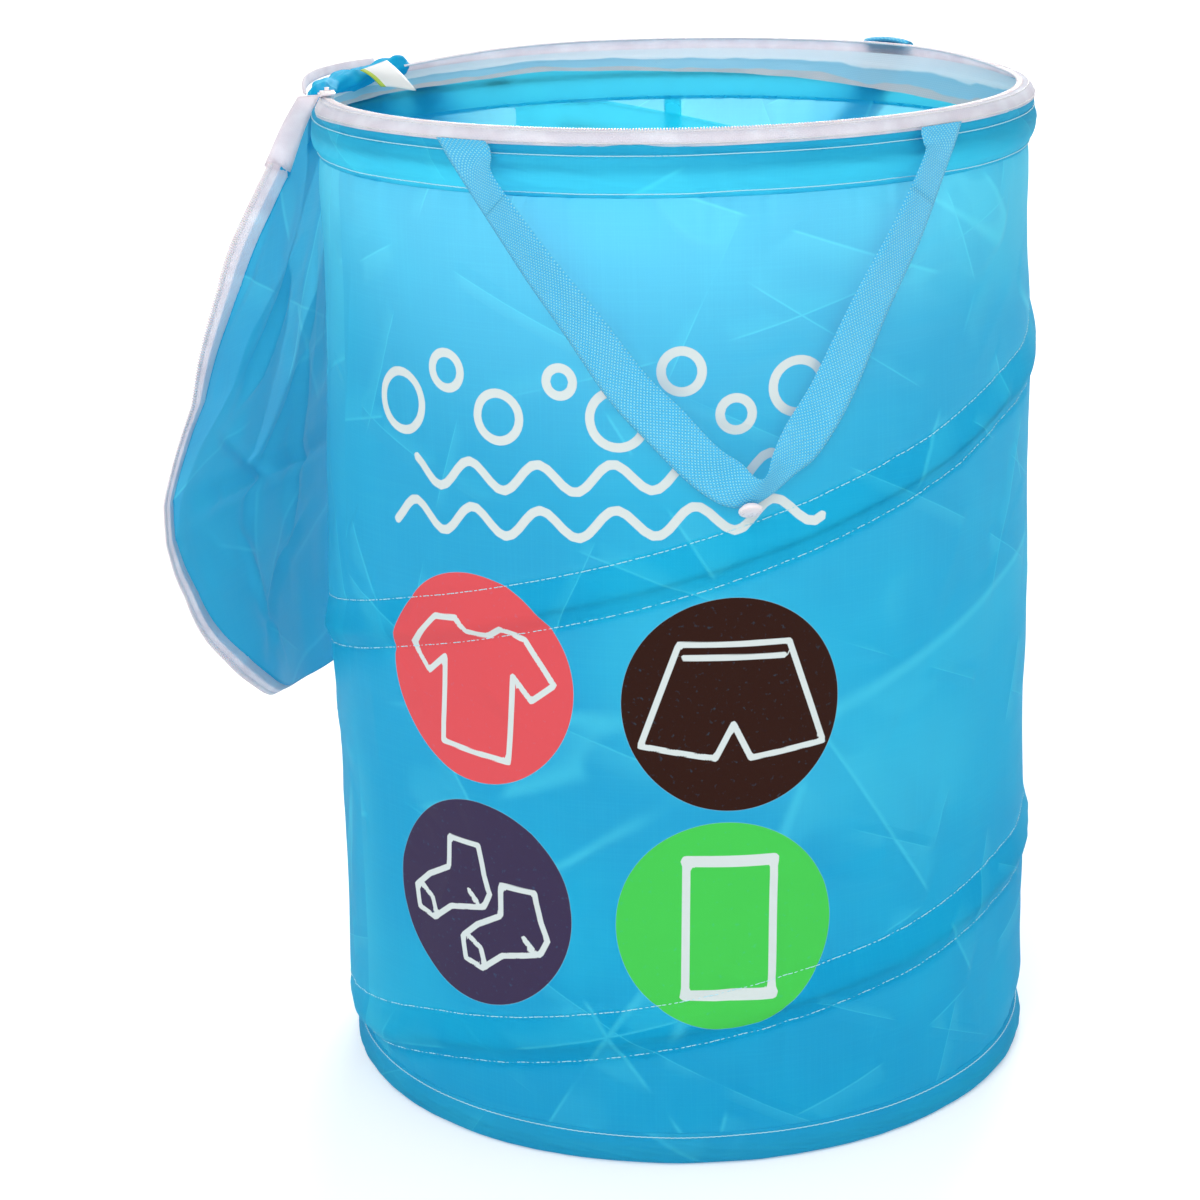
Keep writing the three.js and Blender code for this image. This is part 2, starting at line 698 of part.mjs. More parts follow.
const baseFerruleAzimuth = baseFerruleStep * stepAngle;
const topFerruleAzimuth = topFerruleStep * stepAngle;

add('base_panel', basePanel(), 'cloth');
add('base_hem', hemCasing(0, baseHemHeight, baseRingHeight), 'cloth');
add('base_ring_wire', ringWire(baseRingHeight, baseFerruleAzimuth), 'wire');
add('base_ring_ferrule', ferrule(baseRingHeight, baseFerruleAzimuth), 'wire');
add('side_wall', sideWall(), 'cloth');
add('side_seam', sideSeam(), 'cloth');
add('helix_wire', helixWire(), 'wire');
add('helix_sleeve', helixSleeve(), 'cloth');

add('top_hem', hemCasing(hemTop, hemBottom, topRingHeight), 'cloth');
add('top_ring_wire', ringWire(topRingHeight, topFerruleAzimuth), 'wire');
add('top_ring_ferrule', ferrule(topRingHeight, topFerruleAzimuth), 'wire');
add('inner_binding', innerBinding(), 'tape');
add('rim_zip_tape', rimZipTape(), 'tape');
add('rim_zip_coil', rimZipCoil(), 'plastic');
const stopTurn = THREE.MathUtils.radToDeg((zipStopLength / 2 + clearance) / rimCoilRadius);
add('zip_start_stop', zipStop(zipStartAzimuth - stopTurn), 'plastic');
add('zip_end_stop', zipStop(zipStartAzimuth + zipSpan + stopTurn), 'plastic');
add('lid_hinge_roll', hingeRoll(), 'cloth');
add('care_label', careLabel(), 'tape');
add('front_left_anchor', handleAnchor(frontHandle.start), 'webbing');
add('front_right_anchor', handleAnchor(frontHandle.end), 'webbing');
add('rear_right_anchor', handleAnchor(rearHandle.start), 'webbing');
add('rear_left_anchor', handleAnchor(rearHandle.end), 'webbing');

add('lid_panel', lidPanel(), 'cloth');
add('lid_zip_tape', lidZipTape(), 'tape');
add('lid_zip_coil', lidZipCoil(), 'plastic');

const sliderPlace = new THREE.Group();
sliderPlace.rotation.z = radians(sliderAzimuth);
sliderPlace.position.z = coilHeight;
hamper.add(sliderPlace);
add('zip_slider', zipSlider(), 'plastic', sliderPlace);
const pullPlace = new THREE.Group();
pullPlace.position.z = sliderTop + (eyeOpeningHeight - pullThickness) / 2;
sliderPlace.add(pullPlace);
add('zip_pull', zipPull(), 'plastic', pullPlace);

for (const [side, handle, mate] of [['front', frontHandle, 'stud'], ['rear', rearHandle, 'socket']]) {
  add(`${side}_handle_webbing`, handleWebbing(handle), 'webbing');
  const foot = foldRadius + webbingThickness / 2 + clearance;
  add(`${side}_snap_${mate}`, pressStud(handle, studBaseDiameter, studBaseThickness, foot), 'plastic');
  const crown = foot + studBaseThickness + clearance;
  add(`${side}_snap_cap`, pressStud(handle, studDiameter, studThickness, crown), 'plastic');
}

console.log('least gap of the helix to itself, mm', leastGapOfHelix().toFixed(1));

export default hamper;
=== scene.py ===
# %% [markdown]
# # Pop up laundry hamper
# The real thing is almost all cloth: a thin taffeta tube that a spring wire helix pushes open, with
# sewn hems at both ends, a zipped lid that hangs at the left, and two handles of webbing. The rigid
# frame gives every place and every motion. This lesson dresses it, one piece after another.

# %% Load the rigid frame
import math
import bpy
import numpy as np
from mathutils import Matrix, Vector


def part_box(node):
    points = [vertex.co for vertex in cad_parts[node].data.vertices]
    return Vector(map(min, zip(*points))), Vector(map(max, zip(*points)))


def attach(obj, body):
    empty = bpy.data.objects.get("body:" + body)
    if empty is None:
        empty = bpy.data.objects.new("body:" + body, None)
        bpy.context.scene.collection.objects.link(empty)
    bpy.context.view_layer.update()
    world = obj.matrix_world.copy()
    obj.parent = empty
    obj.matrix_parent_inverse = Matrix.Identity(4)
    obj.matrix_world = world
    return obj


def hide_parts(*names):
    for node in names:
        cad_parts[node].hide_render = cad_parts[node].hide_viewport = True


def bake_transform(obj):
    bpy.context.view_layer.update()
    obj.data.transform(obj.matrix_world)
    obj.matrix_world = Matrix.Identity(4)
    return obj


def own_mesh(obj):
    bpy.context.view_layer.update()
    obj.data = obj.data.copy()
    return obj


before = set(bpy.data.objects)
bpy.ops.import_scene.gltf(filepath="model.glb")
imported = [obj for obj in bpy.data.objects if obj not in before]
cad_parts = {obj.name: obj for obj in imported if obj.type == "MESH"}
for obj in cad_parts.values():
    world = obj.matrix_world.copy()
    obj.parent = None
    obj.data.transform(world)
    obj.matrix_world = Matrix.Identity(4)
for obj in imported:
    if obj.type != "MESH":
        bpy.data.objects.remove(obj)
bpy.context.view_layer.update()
bpy.ops.object.select_all(action="DESELECT")
MM = 0.001

# %% [markdown]
# ## Camera
# A picture can be matched only from where it was taken. The place, pitch and roll below were worked
# out from the ellipses of the rim and the base. The optical axis of the picture is right of its
# middle, which the shift of the lens repeats.

# %% Camera at the photograph's angle
PHOTO_WIDTH = 1200
FOCAL_PIXELS = 2886.5
AXIS_PIXEL = 681.7
SENSOR = 36
camera_place = Vector((0, -1540.9, 718.6)) * MM
pitch = math.radians(16.946)
roll = math.radians(-1.024)
ahead = Vector((0, math.cos(pitch), -math.sin(pitch)))
level_up = Vector((0, math.sin(pitch), math.cos(pitch)))
right = Vector((1, 0, 0)) * math.cos(roll) + level_up * math.sin(roll)
turn = Matrix((right, right.cross(ahead), -ahead)).transposed()
bpy.ops.object.camera_add(location=camera_place, rotation=turn.to_euler())
camera = bpy.context.object
camera.name = "photo_camera"
camera.data.sensor_width = SENSOR
camera.data.lens = FOCAL_PIXELS / PHOTO_WIDTH * SENSOR
camera.data.shift_x = (PHOTO_WIDTH / 2 - AXIS_PIXEL) / PHOTO_WIDTH
camera.data.clip_end = 50
bpy.context.scene.camera = camera
print("camera lens", round(camera.data.lens, 1), "mm")

# %% [markdown]
# ## Small helpers for materials
# A procedural material is a chain of nodes. One helper adds a node and fills its sockets, another
# does arithmetic, so that each finish below stays short enough to read.

# %% Node helpers
def put(tree, kind, sockets=None, **settings):
    """Adds a node. sockets maps a socket's name or number to a value or to another node's output."""
    made = tree.nodes.new(kind)
    for key, value in settings.items():
        setattr(made, key, value)
    for key, value in (sockets or {}).items():
        if isinstance(value, bpy.types.NodeSocket):
            tree.links.new(value, made.inputs[key])
        else:
            made.inputs[key].default_value = value
    return made


def calc(tree, operation, first, second=0.0, third=0.0):
    return put(tree, "ShaderNodeMath", {0: first, 1: second, 2: third}, operation=operation).outputs[0]


def fade(tree, value, low, high, start=0.0, end=1.0):
    """start below low, end above high, and a smooth ramp between them."""
    sockets = {"Value": value, "From Min": low, "From Max": high, "To Min": start, "To Max": end}
    return put(tree, "ShaderNodeMapRange", sockets, interpolation_type="SMOOTHSTEP").outputs["Result"]


def tint(tree, share, first, second):
    node = put(tree, "ShaderNodeMix", {"Factor": share}, data_type="RGBA")
    for socket, colour in ((node.inputs[6], first), (node.inputs[7], second)):
        if isinstance(colour, bpy.types.NodeSocket):
            tree.links.new(colour, socket)
        else:
            socket.default_value = (*colour, 1)
    return node.outputs[2]


def srgb(red, green, blue):
    """A colour as a screen shows it, 0 to 255, in Blender's linear numbers."""
    def linear(part):
        share = part / 255
        return share / 12.92 if share <= 0.04045 else ((share + 0.055) / 1.055) ** 2.4
    return tuple(linear(part) for part in (red, green, blue))


def new_group(name, inputs, outputs):
    """An empty node group; inputs maps a name to its kind and first value, outputs a name to a kind."""
    tree = bpy.data.node_groups.new(name, "ShaderNodeTree")
    for label, (kind, value) in inputs.items():
        socket = tree.interface.new_socket(label, in_out="INPUT", socket_type="NodeSocket" + kind)
        if value is not None:
            socket.default_value = value
    for label, kind in outputs.items():
        tree.interface.new_socket(label, in_out="OUTPUT", socket_type="NodeSocket" + kind)
    return tree, put(tree, "NodeGroupInput"), put(tree, "NodeGroupOutput")


print("helpers ready")

# %% [markdown]
# ## Pressed creases
# A hamper that was folded flat for its journey keeps long, nearly straight creases in a few
# directions. The group gives masks for painting them: a painted highlight along each crease line, and
# painted light and shade on its two facets, one lit and lighter, one shaded and darker. A noise that is
# stretched far
# along one direction changes slowly along it, so the line where it passes its middle value is long
# and almost straight. Four such noises, turned against each other and broken by a fifth, make one
# group that every cloth uses.

# %% Group: pressed creases
CREASE_DIRECTIONS = ((22, 1.0), (71, 0.75), (118, 1.2), (154, 0.6))
CREASE_STRETCH = 0.07
CREASE_SHIFT = 0.37


def build_creases():
    """Four noises, each turned by some degrees and scaled by a share of the size."""
    tree, source, result = new_group(
        "pressed_creases",
        {"Place": ("Vector", None), "Size": ("Float", 9.0), "Width": ("Float", 0.0038)},
        {"Height": "Float", "LineHighlight": "Float", "FacetLightShade": "Float"})
    size = source.outputs["Size"]
    height, lines, facet_light_shade = 0.0, 0.0, 0.0
    for number, (turned, share) in enumerate(CREASE_DIRECTIONS):
        place = put(tree, "ShaderNodeVectorRotate", {
            "Vector": source.outputs["Place"], "Angle": math.radians(turned)},
            rotation_type="Z_AXIS").outputs[0]
        place = put(tree, "ShaderNodeVectorMath", {
            0: place, 1: (1.0, CREASE_STRETCH, 1.0), 2: (CREASE_SHIFT * number, 0.0, 0.0)},
            operation="MULTIPLY_ADD").outputs[0]
        field = put(tree, "ShaderNodeTexNoise", {
            "Vector": place, "Scale": calc(tree, "MULTIPLY", size, share), "Detail": 0.0},
            noise_dimensions="2D").outputs[0]
        piece = put(tree, "ShaderNodeTexNoise", {
            "Vector": source.outputs["Place"], "Scale": calc(tree, "MULTIPLY", size, 1.6 + 0.3 * number),
            "Detail": 0.0}, noise_dimensions="2D").outputs[0]
        there = fade(tree, piece, 0.47, 0.58)
        away = calc(tree, "ABSOLUTE", calc(tree, "SUBTRACT", field, 0.5))
        # The crease line, which the cloth paints paler: a painted highlight along the crease.
        line = put(tree, "ShaderNodeMapRange", {
            "Value": away, "From Min": 0.0, "From Max": source.outputs["Width"], "To Min": 1.0,
            "To Max": 0.0}, interpolation_type="SMOOTHSTEP").outputs["Result"]
        lines = calc(tree, "MAXIMUM", lines, calc(tree, "MULTIPLY", line, there))
        # The two facets beside the line: one side is painted lighter, as lit, the other darker, as shaded,
        # fading away from the line.
        side = fade(tree, field, 0.497, 0.503, -1.0, 1.0)
        near = fade(tree, away, 0.0, 0.07, 1.0, 0.0)
        one_facet_light_shade = calc(tree, "MULTIPLY", calc(tree, "MULTIPLY", side, near), there)
        facet_light_shade = calc(tree, "ADD", facet_light_shade, one_facet_light_shade)
        ridge = calc(tree, "MULTIPLY", calc(tree, "SUBTRACT", 1.0, calc(tree, "MINIMUM", calc(
            tree, "MULTIPLY", away, 22.0), 1.0)), there)
        height = calc(tree, "ADD", height, ridge)
    for label, value in (("Height", height), ("LineHighlight", lines), ("FacetLightShade", facet_light_shade)):
        tree.links.new(value, result.inputs[label])
    return tree


creases = build_creases()
print("group", creases.name)

# %% [markdown]
# ## Threads of a weave
# Taffeta is a plain weave of very fine threads, and the handles are a coarse basket weave. Two sets
# of sine ridges at right angles, each strong where the other is weak, give the over and under of
# both, with the thread's width as the only difference.

# %% Group: plain weave
def build_weave():
    tree, source, result = new_group(
        "plain_weave", {"Place": ("Vector", None), "Thread": ("Float", 0.0006)}, {"Height": "Float"})
    parts = put(tree, "ShaderNodeSeparateXYZ", {0: source.outputs["Place"]})
    rate = calc(tree, "DIVIDE", math.pi, source.outputs["Thread"])
    along = calc(tree, "SINE", calc(tree, "MULTIPLY", parts.outputs["X"], rate))
    across = calc(tree, "SINE", calc(tree, "MULTIPLY", parts.outputs["Y"], rate))
    over = calc(tree, "MULTIPLY", along, across)
    ridge = calc(tree, "ADD", calc(tree, "ABSOLUTE", along), calc(tree, "ABSOLUTE", across))
    tree.links.new(calc(tree, "MULTIPLY_ADD", over, 0.5, calc(tree, "MULTIPLY", ridge, 0.5)),
                   result.inputs["Height"])
    return tree


weave = build_weave()
print("group", weave.name)

# %% [markdown]
# ## Cloth finish
# Taffeta lets about half of the light through, so the shader is a mix of a satin surface and a
# translucent one. The light that comes through is paler than the cloth itself. The colour wanders in
# broad soft patches and single thick threads show as faint streaks. The light and shade of the creases
# are painted in: one facet of a crease is painted paler, as lit, the other deeper, as shaded, and a
# painted highlight runs along each crease. Where layers lie on each other more light comes back, so the
# hems are paler, and the
# strips inside let most of the light pass. Every cloth piece has a flat map in metres, so creases and
# threads keep their true size and follow the cloth when it moves.

# %% Finish: taffeta and tapes
CLOTH_BLUE = srgb(0, 174, 222)
# The pale colour is both a paler tone of the cloth and the painted highlight on crease lines and lit
# facets; the deep colour is both a deeper tone and the painted shade on shaded facets.
CLOTH_PALE_AND_HIGHLIGHT = srgb(84, 220, 244)
CLOTH_DEEP_AND_SHADE = srgb(0, 156, 211)
CLOTH_GLOW = srgb(160, 244, 248)
INK_WHITE = srgb(216, 224, 222)
PRINT_AND_SHADE_STOPS = 0.8


def flat_place(tree):
    return put(tree, "ShaderNodeUVMap", uv_map="flat").outputs["UV"]


def grouped(tree, group, **sockets):
    node = put(tree, "ShaderNodeGroup", node_tree=group)
    for key, value in sockets.items():
        if isinstance(value, bpy.types.NodeSocket):
            tree.links.new(value, node.inputs[key])
        else:
            node.inputs[key].default_value = value
    return node


def finish_of(name):
    material = bpy.data.materials.new(name)
    material.use_nodes = True
    tree = material.node_tree
    return material, tree, tree.nodes["Principled BSDF"], tree.nodes["Material Output"]


def let_light_through(tree, surface, output, colour, normal, share):
    """Mixes the surface with light that comes through the cloth."""
    through = put(tree, "ShaderNodeBsdfTranslucent", {"Color": colour, "Normal": normal})
    mixed = put(tree, "ShaderNodeMixShader", {0: share, 1: surface.outputs[0], 2: through.outputs[0]})
    tree.links.new(mixed.outputs[0], output.inputs["Surface"])


def thick_threads(tree, place):
    """Faint streaks along and across the cloth, where one thread is thicker than its neighbours."""
    streaks = 0.0
    for scales in ((14.0, 1500.0, 1.0), (1500.0, 14.0, 1.0)):
        stretched = put(tree, "ShaderNodeVectorMath", {0: place, 1: scales},
                        operation="MULTIPLY").outputs[0]
        noise = put(tree, "ShaderNodeTexNoise", {"Vector": stretched, "Scale": 1.0, "Detail": 1.0},
                    noise_dimensions="2D").outputs[0]
        streaks = calc(tree, "ADD", streaks, fade(tree, noise, 0.4, 0.8))
    return streaks


def taffeta(name, through, crease, patches, crease_size=9.0, layers=0.0, pale_light=0.6, roughness=0.42,
            over=None):
    """The cloth's finish. through is the share of light that passes, crease the height of the creases,
    patches and layers how pale it is in places and all over, and over a print on top of the cloth or a
    painted shade, either of which lets less light through."""
    material, tree, surface, output = finish_of(name)
    place = flat_place(tree)
    folds = grouped(tree, creases, Place=place, Size=crease_size)
    threads = grouped(tree, weave, Place=place, Thread=0.0007)
    drift = put(tree, "ShaderNodeTexNoise", {
        "Vector": place, "Scale": 6.0, "Detail": 3.0, "Roughness": 0.55}, noise_dimensions="2D").outputs[0]
    broad = put(tree, "ShaderNodeTexNoise", {"Vector": place, "Scale": 3.4, "Detail": 2.0},
                noise_dimensions="2D").outputs[0]
    colour = tint(tree, fade(tree, drift, 0.35, 0.68), CLOTH_DEEP_AND_SHADE, CLOTH_BLUE)
    colour = tint(tree, fade(tree, broad, 0.5, 0.72, 0.0, patches), colour, CLOTH_PALE_AND_HIGHLIGHT)
    # Painted light and shade of the creases: one facet paler, as lit, the other deeper, as shaded, and a
    # painted highlight along each crease line.
    colour = tint(tree, fade(tree, folds.outputs["FacetLightShade"], 0.0, 1.4, 0.0, 0.24), colour, CLOTH_PALE_AND_HIGHLIGHT)
    colour = tint(tree, fade(tree, folds.outputs["FacetLightShade"], -1.4, 0.0, 0.28, 0.0), colour, CLOTH_DEEP_AND_SHADE)
    colour = tint(tree, calc(tree, "MULTIPLY", folds.outputs["LineHighlight"], 0.55), colour, CLOTH_PALE_AND_HIGHLIGHT)
    colour = tint(tree, calc(tree, "MULTIPLY", thick_threads(tree, place), 0.07), colour, CLOTH_PALE_AND_HIGHLIGHT)
    glow = tint(tree, pale_light, colour, CLOTH_GLOW)
    colour = tint(tree, layers, colour, CLOTH_PALE_AND_HIGHLIGHT)
    if over is not None:
        over_colour, over_mask = over(tree, place)
        colour = tint(tree, over_mask, colour, over_colour)
        glow = tint(tree, over_mask, glow, over_colour)
        # The print stops light, and so does the painted shade on the lid's panels.
        through = calc(tree, "MULTIPLY_ADD", over_mask, -PRINT_AND_SHADE_STOPS * through, through)
    small = calc(tree, "MULTIPLY", threads.outputs["Height"], 0.02)
    height = calc(tree, "MULTIPLY_ADD", folds.outputs["Height"], crease, small)
    normal = put(tree, "ShaderNodeBump", {"Height": height, "Strength": 0.6, "Distance": 0.0012}).outputs[0]
    for key, value in {"Base Color": colour, "Normal": normal}.items():
        tree.links.new(value, surface.inputs[key])
    surface.inputs["Roughness"].default_value = roughness
    surface.inputs["Specular IOR Level"].default_value = 0.05
    surface.inputs["Sheen Weight"].default_value = 0.01
    surface.inputs["Sheen Roughness"].default_value = 0.35
    surface.inputs["Sheen Tint"].default_value = (*CLOTH_PALE_AND_HIGHLIGHT, 1)
    let_light_through(tree, surface, output, glow, normal, through)
    return material


hem_cloth = taffeta("hem_cloth", through=0.55, crease=0.5, patches=0.3, layers=0.3)
inner_cloth = taffeta("inner_cloth", through=0.95, crease=0.3, patches=0.2, layers=0.8, pale_light=1.0)
print("cloth finishes", hem_cloth.name, inner_cloth.name)

# %% [markdown]
# ## Tape, webbing, thread, plastic and steel
# The white tapes are a tight rib weave with a pinkish cast. The webbing is a basket weave whose
# threads can be counted. Sewing thread is a twisted cord, so fine slanted ridges run round it.

# %% Finish: tape and binding
TAPE_WHITE = srgb(252, 249, 251)
TAPE_SHADE = srgb(238, 230, 235)


def ribbed_tape(name, base, shade, through=0.55):
    material, tree, surface, output = finish_of(name)
    place = flat_place(tree)
    threads = grouped(tree, weave, Place=place, Thread=0.0009)
    drift = put(tree, "ShaderNodeTexNoise", {"Vector": place, "Scale": 60.0, "Detail": 3.0})
    colour = tint(tree, fade(tree, drift.outputs[0], 0.35, 0.75), shade, base)
    # Painted shade in the dips of the ribs: the rib tops are tinted towards the white, so the dips keep the
    # pinker, darker tone.
    colour = tint(tree, calc(tree, "MULTIPLY", threads.outputs["Height"], 0.25), colour, base)
    normal = put(tree, "ShaderNodeBump", {"Height": threads.outputs["Height"], "Strength": 0.35,
                                          "Distance": 0.0003}).outputs[0]
    tree.links.new(colour, surface.inputs["Base Color"])
    tree.links.new(normal, surface.inputs["Normal"])
    surface.inputs["Roughness"].default_value = 0.75
    surface.inputs["Sheen Weight"].default_value = 0.2
    let_light_through(tree, surface, output, colour, normal, through)
    return material


tape_white = ribbed_tape("tape_white", TAPE_WHITE, TAPE_SHADE)
print("finish", tape_white.name)

# %% Finish: basket weave webbing
WEBBING_BLUE = srgb(72, 214, 252)
WEBBING_DIP_SHADE = srgb(14, 176, 242)
WEBBING_PALE_AND_HIGHLIGHT = srgb(172, 240, 255)


def basket_webbing():
    material, tree, surface, output = finish_of("webbing_blue")
    place = flat_place(tree)
    threads = grouped(tree, weave, Place=place, Thread=0.0011)
    drift = put(tree, "ShaderNodeTexNoise", {"Vector": place, "Scale": 45.0, "Detail": 2.0})
    # Painted light and shade on the weave: the dips between threads get a painted shade of deeper blue, the
    # thread tops a painted pale highlight.
    high = fade(tree, threads.outputs["Height"], 0.15, 0.95)
    colour = tint(tree, high, WEBBING_DIP_SHADE, WEBBING_BLUE)
    thread_top_highlight = calc(tree, "MULTIPLY", fade(tree, threads.outputs["Height"], 0.75, 1.05), 0.6)
    colour = tint(tree, thread_top_highlight, colour, WEBBING_PALE_AND_HIGHLIGHT)
    colour = tint(tree, calc(tree, "MULTIPLY", drift.outputs[0], 0.18), colour, WEBBING_PALE_AND_HIGHLIGHT)
    normal = put(tree, "ShaderNodeBump", {"Height": threads.outputs["Height"], "Strength": 0.8,
                                          "Distance": 0.0005}).outputs[0]
    tree.links.new(colour, surface.inputs["Base Color"])
    tree.links.new(normal, surface.inputs["Normal"])
    surface.inputs["Roughness"].default_value = 0.5
    surface.inputs["Sheen Weight"].default_value = 0.3
    surface.inputs["Sheen Tint"].default_value = (*WEBBING_PALE_AND_HIGHLIGHT, 1)
    let_light_through(tree, surface, output, colour, normal, 0.08)
    return material


webbing_blue = basket_webbing()
print("finish", webbing_blue.name)

# %% Finish: sewing thread
def thread_finish(name, base):
    material, tree, surface, _ = finish_of(name)
    place = put(tree, "ShaderNodeTexCoord").outputs["Object"]
    ply = put(tree, "ShaderNodeTexWave", {"Vector": place, "Scale": 900.0, "Distortion": 1.0},
              bands_direction="DIAGONAL")
    # Painted shade in the grooves of the twist: the grooves are darker, at 0.72 of the thread's colour.
    colour = tint(tree, ply.outputs[1], tuple(0.72 * part for part in base), base)
    normal = put(tree, "ShaderNodeBump", {"Height": ply.outputs[1], "Strength": 0.4,
                                          "Distance": 0.0001}).outputs[0]
    tree.links.new(colour, surface.inputs["Base Color"])
    tree.links.new(normal, surface.inputs["Normal"])
    surface.inputs["Roughness"].default_value = 0.55
    return material


thread_pale = thread_finish("thread_pale", srgb(190, 240, 252))
thread_white = thread_finish("thread_white", srgb(240, 238, 240))
print("thread finishes", thread_pale.name, thread_white.name)

# %% Finish: moulded plastic and spring steel
def moulded_plastic():
    material, tree, surface, _ = finish_of("plastic_white")
    place = put(tree, "ShaderNodeTexCoord").outputs["Object"]
    grain = put(tree, "ShaderNodeTexNoise", {"Vector": place, "Scale": 700.0, "Detail": 4.0})
    cloud = put(tree, "ShaderNodeTexNoise", {"Vector": place, "Scale": 120.0, "Detail": 2.0})
    colour = tint(tree, cloud.outputs[0], srgb(226, 214, 219), srgb(246, 241, 243))
    normal = put(tree, "ShaderNodeBump", {"Height": grain.outputs[0], "Strength": 0.15,
                                          "Distance": 0.0001}).outputs[0]
    tree.links.new(colour, surface.inputs["Base Color"])
    tree.links.new(normal, surface.inputs["Normal"])
    tree.links.new(fade(tree, grain.outputs[0], 0.3, 0.7, 0.24, 0.42), surface.inputs["Roughness"])
    surface.inputs["Subsurface Weight"].default_value = 0.1
    surface.inputs["Subsurface Scale"].default_value = 0.001
    return material


def spring_steel():
    material, tree, surface, _ = finish_of("spring_steel")
    place = put(tree, "ShaderNodeTexCoord").outputs["Object"]
    streaks = put(tree, "ShaderNodeTexNoise", {"Vector": place, "Scale": 260.0, "Detail": 5.0})
    colour = tint(tree, streaks.outputs[0], srgb(120, 124, 130), srgb(196, 200, 205))
    tree.links.new(colour, surface.inputs["Base Color"])
    tree.links.new(fade(tree, streaks.outputs[0], 0.3, 0.7, 0.24, 0.5), surface.inputs["Roughness"])
    surface.inputs["Metallic"].default_value = 1.0
    return material


plastic_white = moulded_plastic()
spring_wire_steel = spring_steel()
print("finishes", plastic_white.name, spring_wire_steel.name)

# %% [markdown]
# ## Print
# The colours are printed on the flat cloth before it is sewn. A disc is a circle in the flat map.
# The white line drawings would need a long chain of nodes, so each corner of the wall's mesh holds
# its distance from the nearest line instead. A distance changes evenly across a face, so the edge
# of the ink stays sharp although the faces are larger than the line is wide.

# %% Print: places and colours
DISC_RADIUS = 56.0
PRINT_RADIUS = 188.4
DISCS = {
    "coral": {"azimuth": 235.9, "height": 256.5, "colour": srgb(226, 86, 92)},
    "brown": {"azimuth": 277.4, "height": 250.5, "colour": srgb(52, 28, 22)},
    "navy": {"azimuth": 234.6, "height": 133.5, "colour": srgb(64, 54, 82)},
    "green": {"azimuth": 275.8, "height": 132.5, "colour": srgb(74, 203, 84)},
}
PRINT_START_AZIMUTH = 205.0


def arc_of(azimuth):
    """Millimetres round the wall from the place where the print's flat map starts."""
    return math.radians(azimuth - PRINT_START_AZIMUTH) * PRINT_RADIUS


def printed_ink(tree, place):
    """The colour of the print and the mask of where it lies: four discs, and white lines over them."""
    colour, mask = INK_WHITE, 0.0
    rub = put(tree, "ShaderNodeTexNoise", {"Vector": place, "Scale": 320.0, "Detail": 3.0}).outputs[0]
    cover = fade(tree, rub, 0.6, 0.8, 1.0, 0.9)
    for disc in DISCS.values():
        centre = (arc_of(disc["azimuth"]) * MM, disc["height"] * MM, 0)
        away = put(tree, "ShaderNodeVectorMath", {0: place, 1: centre},
                   operation="DISTANCE").outputs["Value"]
        inside = fade(tree, away, (DISC_RADIUS - 0.25) * MM, (DISC_RADIUS + 0.25) * MM, 1.0, 0.0)
        colour = tint(tree, inside, colour, disc["colour"])
        mask = calc(tree, "MAXIMUM", mask, calc(tree, "MULTIPLY", inside, cover))
    distance = put(tree, "ShaderNodeAttribute", attribute_name="line_distance").outputs["Fac"]
    line = fade(tree, distance, -0.2, 0.2, 1.0, 0.0)
    return tint(tree, line, colour, INK_WHITE), calc(tree, "MAXIMUM", mask, line)


wall_cloth_finish = taffeta("wall_cloth_printed", through=0.5, crease=0.85, patches=0.4, pale_light=0.7,
                            over=printed_ink)
print("printed cloth with", len(DISCS), "discs")

# %% Print: the line drawings
def shirt_lines():
    """A plain shirt, seen flat."""
    half = [(0, 27), (6, 27.5), (13, 33), (27, 30), (44, 9), (32, -2), (21, 9), (21, -38), (0, -38)]
    return [half + [(-x, y) for x, y in reversed(half)]]


def shorts_lines():
    half = [(0, 30), (28, 30), (47, -24), (9, -30), (0, -12)]
    return [half + [(-x, y) for x, y in reversed(half)], [(-25.5, 23), (25.5, 23)]]


def sock_lines():
    outline = [(-3, 24), (17, 22), (19, 6), (22, -4), (17, -12), (-6, -15), (-20, -24), (-31, -20),
               (-32, -8), (-21, 0), (-5, 7), (-3, 24)]
    toe = [(-28, -7), (-20, -13), (-18, -23)]
    heel = [(13, -10), (8, -4)]
    return [outline, toe, heel]


def towel_lines():
    half_width = 22.5
    return [[(-half_width, 36), (half_width, 36)], [(half_width, 36), (half_width, -37)],
            [(half_width, -37), (-half_width, -37)], [(-half_width, -37), (-half_width, 36)]]


def wave_line(start, end, height, rise, length):
    steps = int((end - start) / 4)
    line = []
    for step in range(steps + 1):
        x = start + (end - start) * step / steps
        line.append((x, height + rise * math.sin(2 * math.pi * x / length)))
    return line


def bubble_line(x, y, radius):
    steps = 28
    angles = [2 * math.pi * step / steps for step in range(steps + 1)]
    return [(x + radius * math.cos(angle), y + radius * math.sin(angle)) for angle in angles]


def placed(lines, azimuth, height, tilt=0.0, offset=(0, 0)):
    """Turns drawings clockwise by tilt degrees and moves them to a place on the wall."""
    cos, sin = math.cos(math.radians(tilt)), math.sin(math.radians(tilt))
    x0, y0 = arc_of(azimuth) + offset[0], height + offset[1]
    return [[(x0 + x * cos + y * sin, y0 - x * sin + y * cos) for x, y in line] for line in lines]


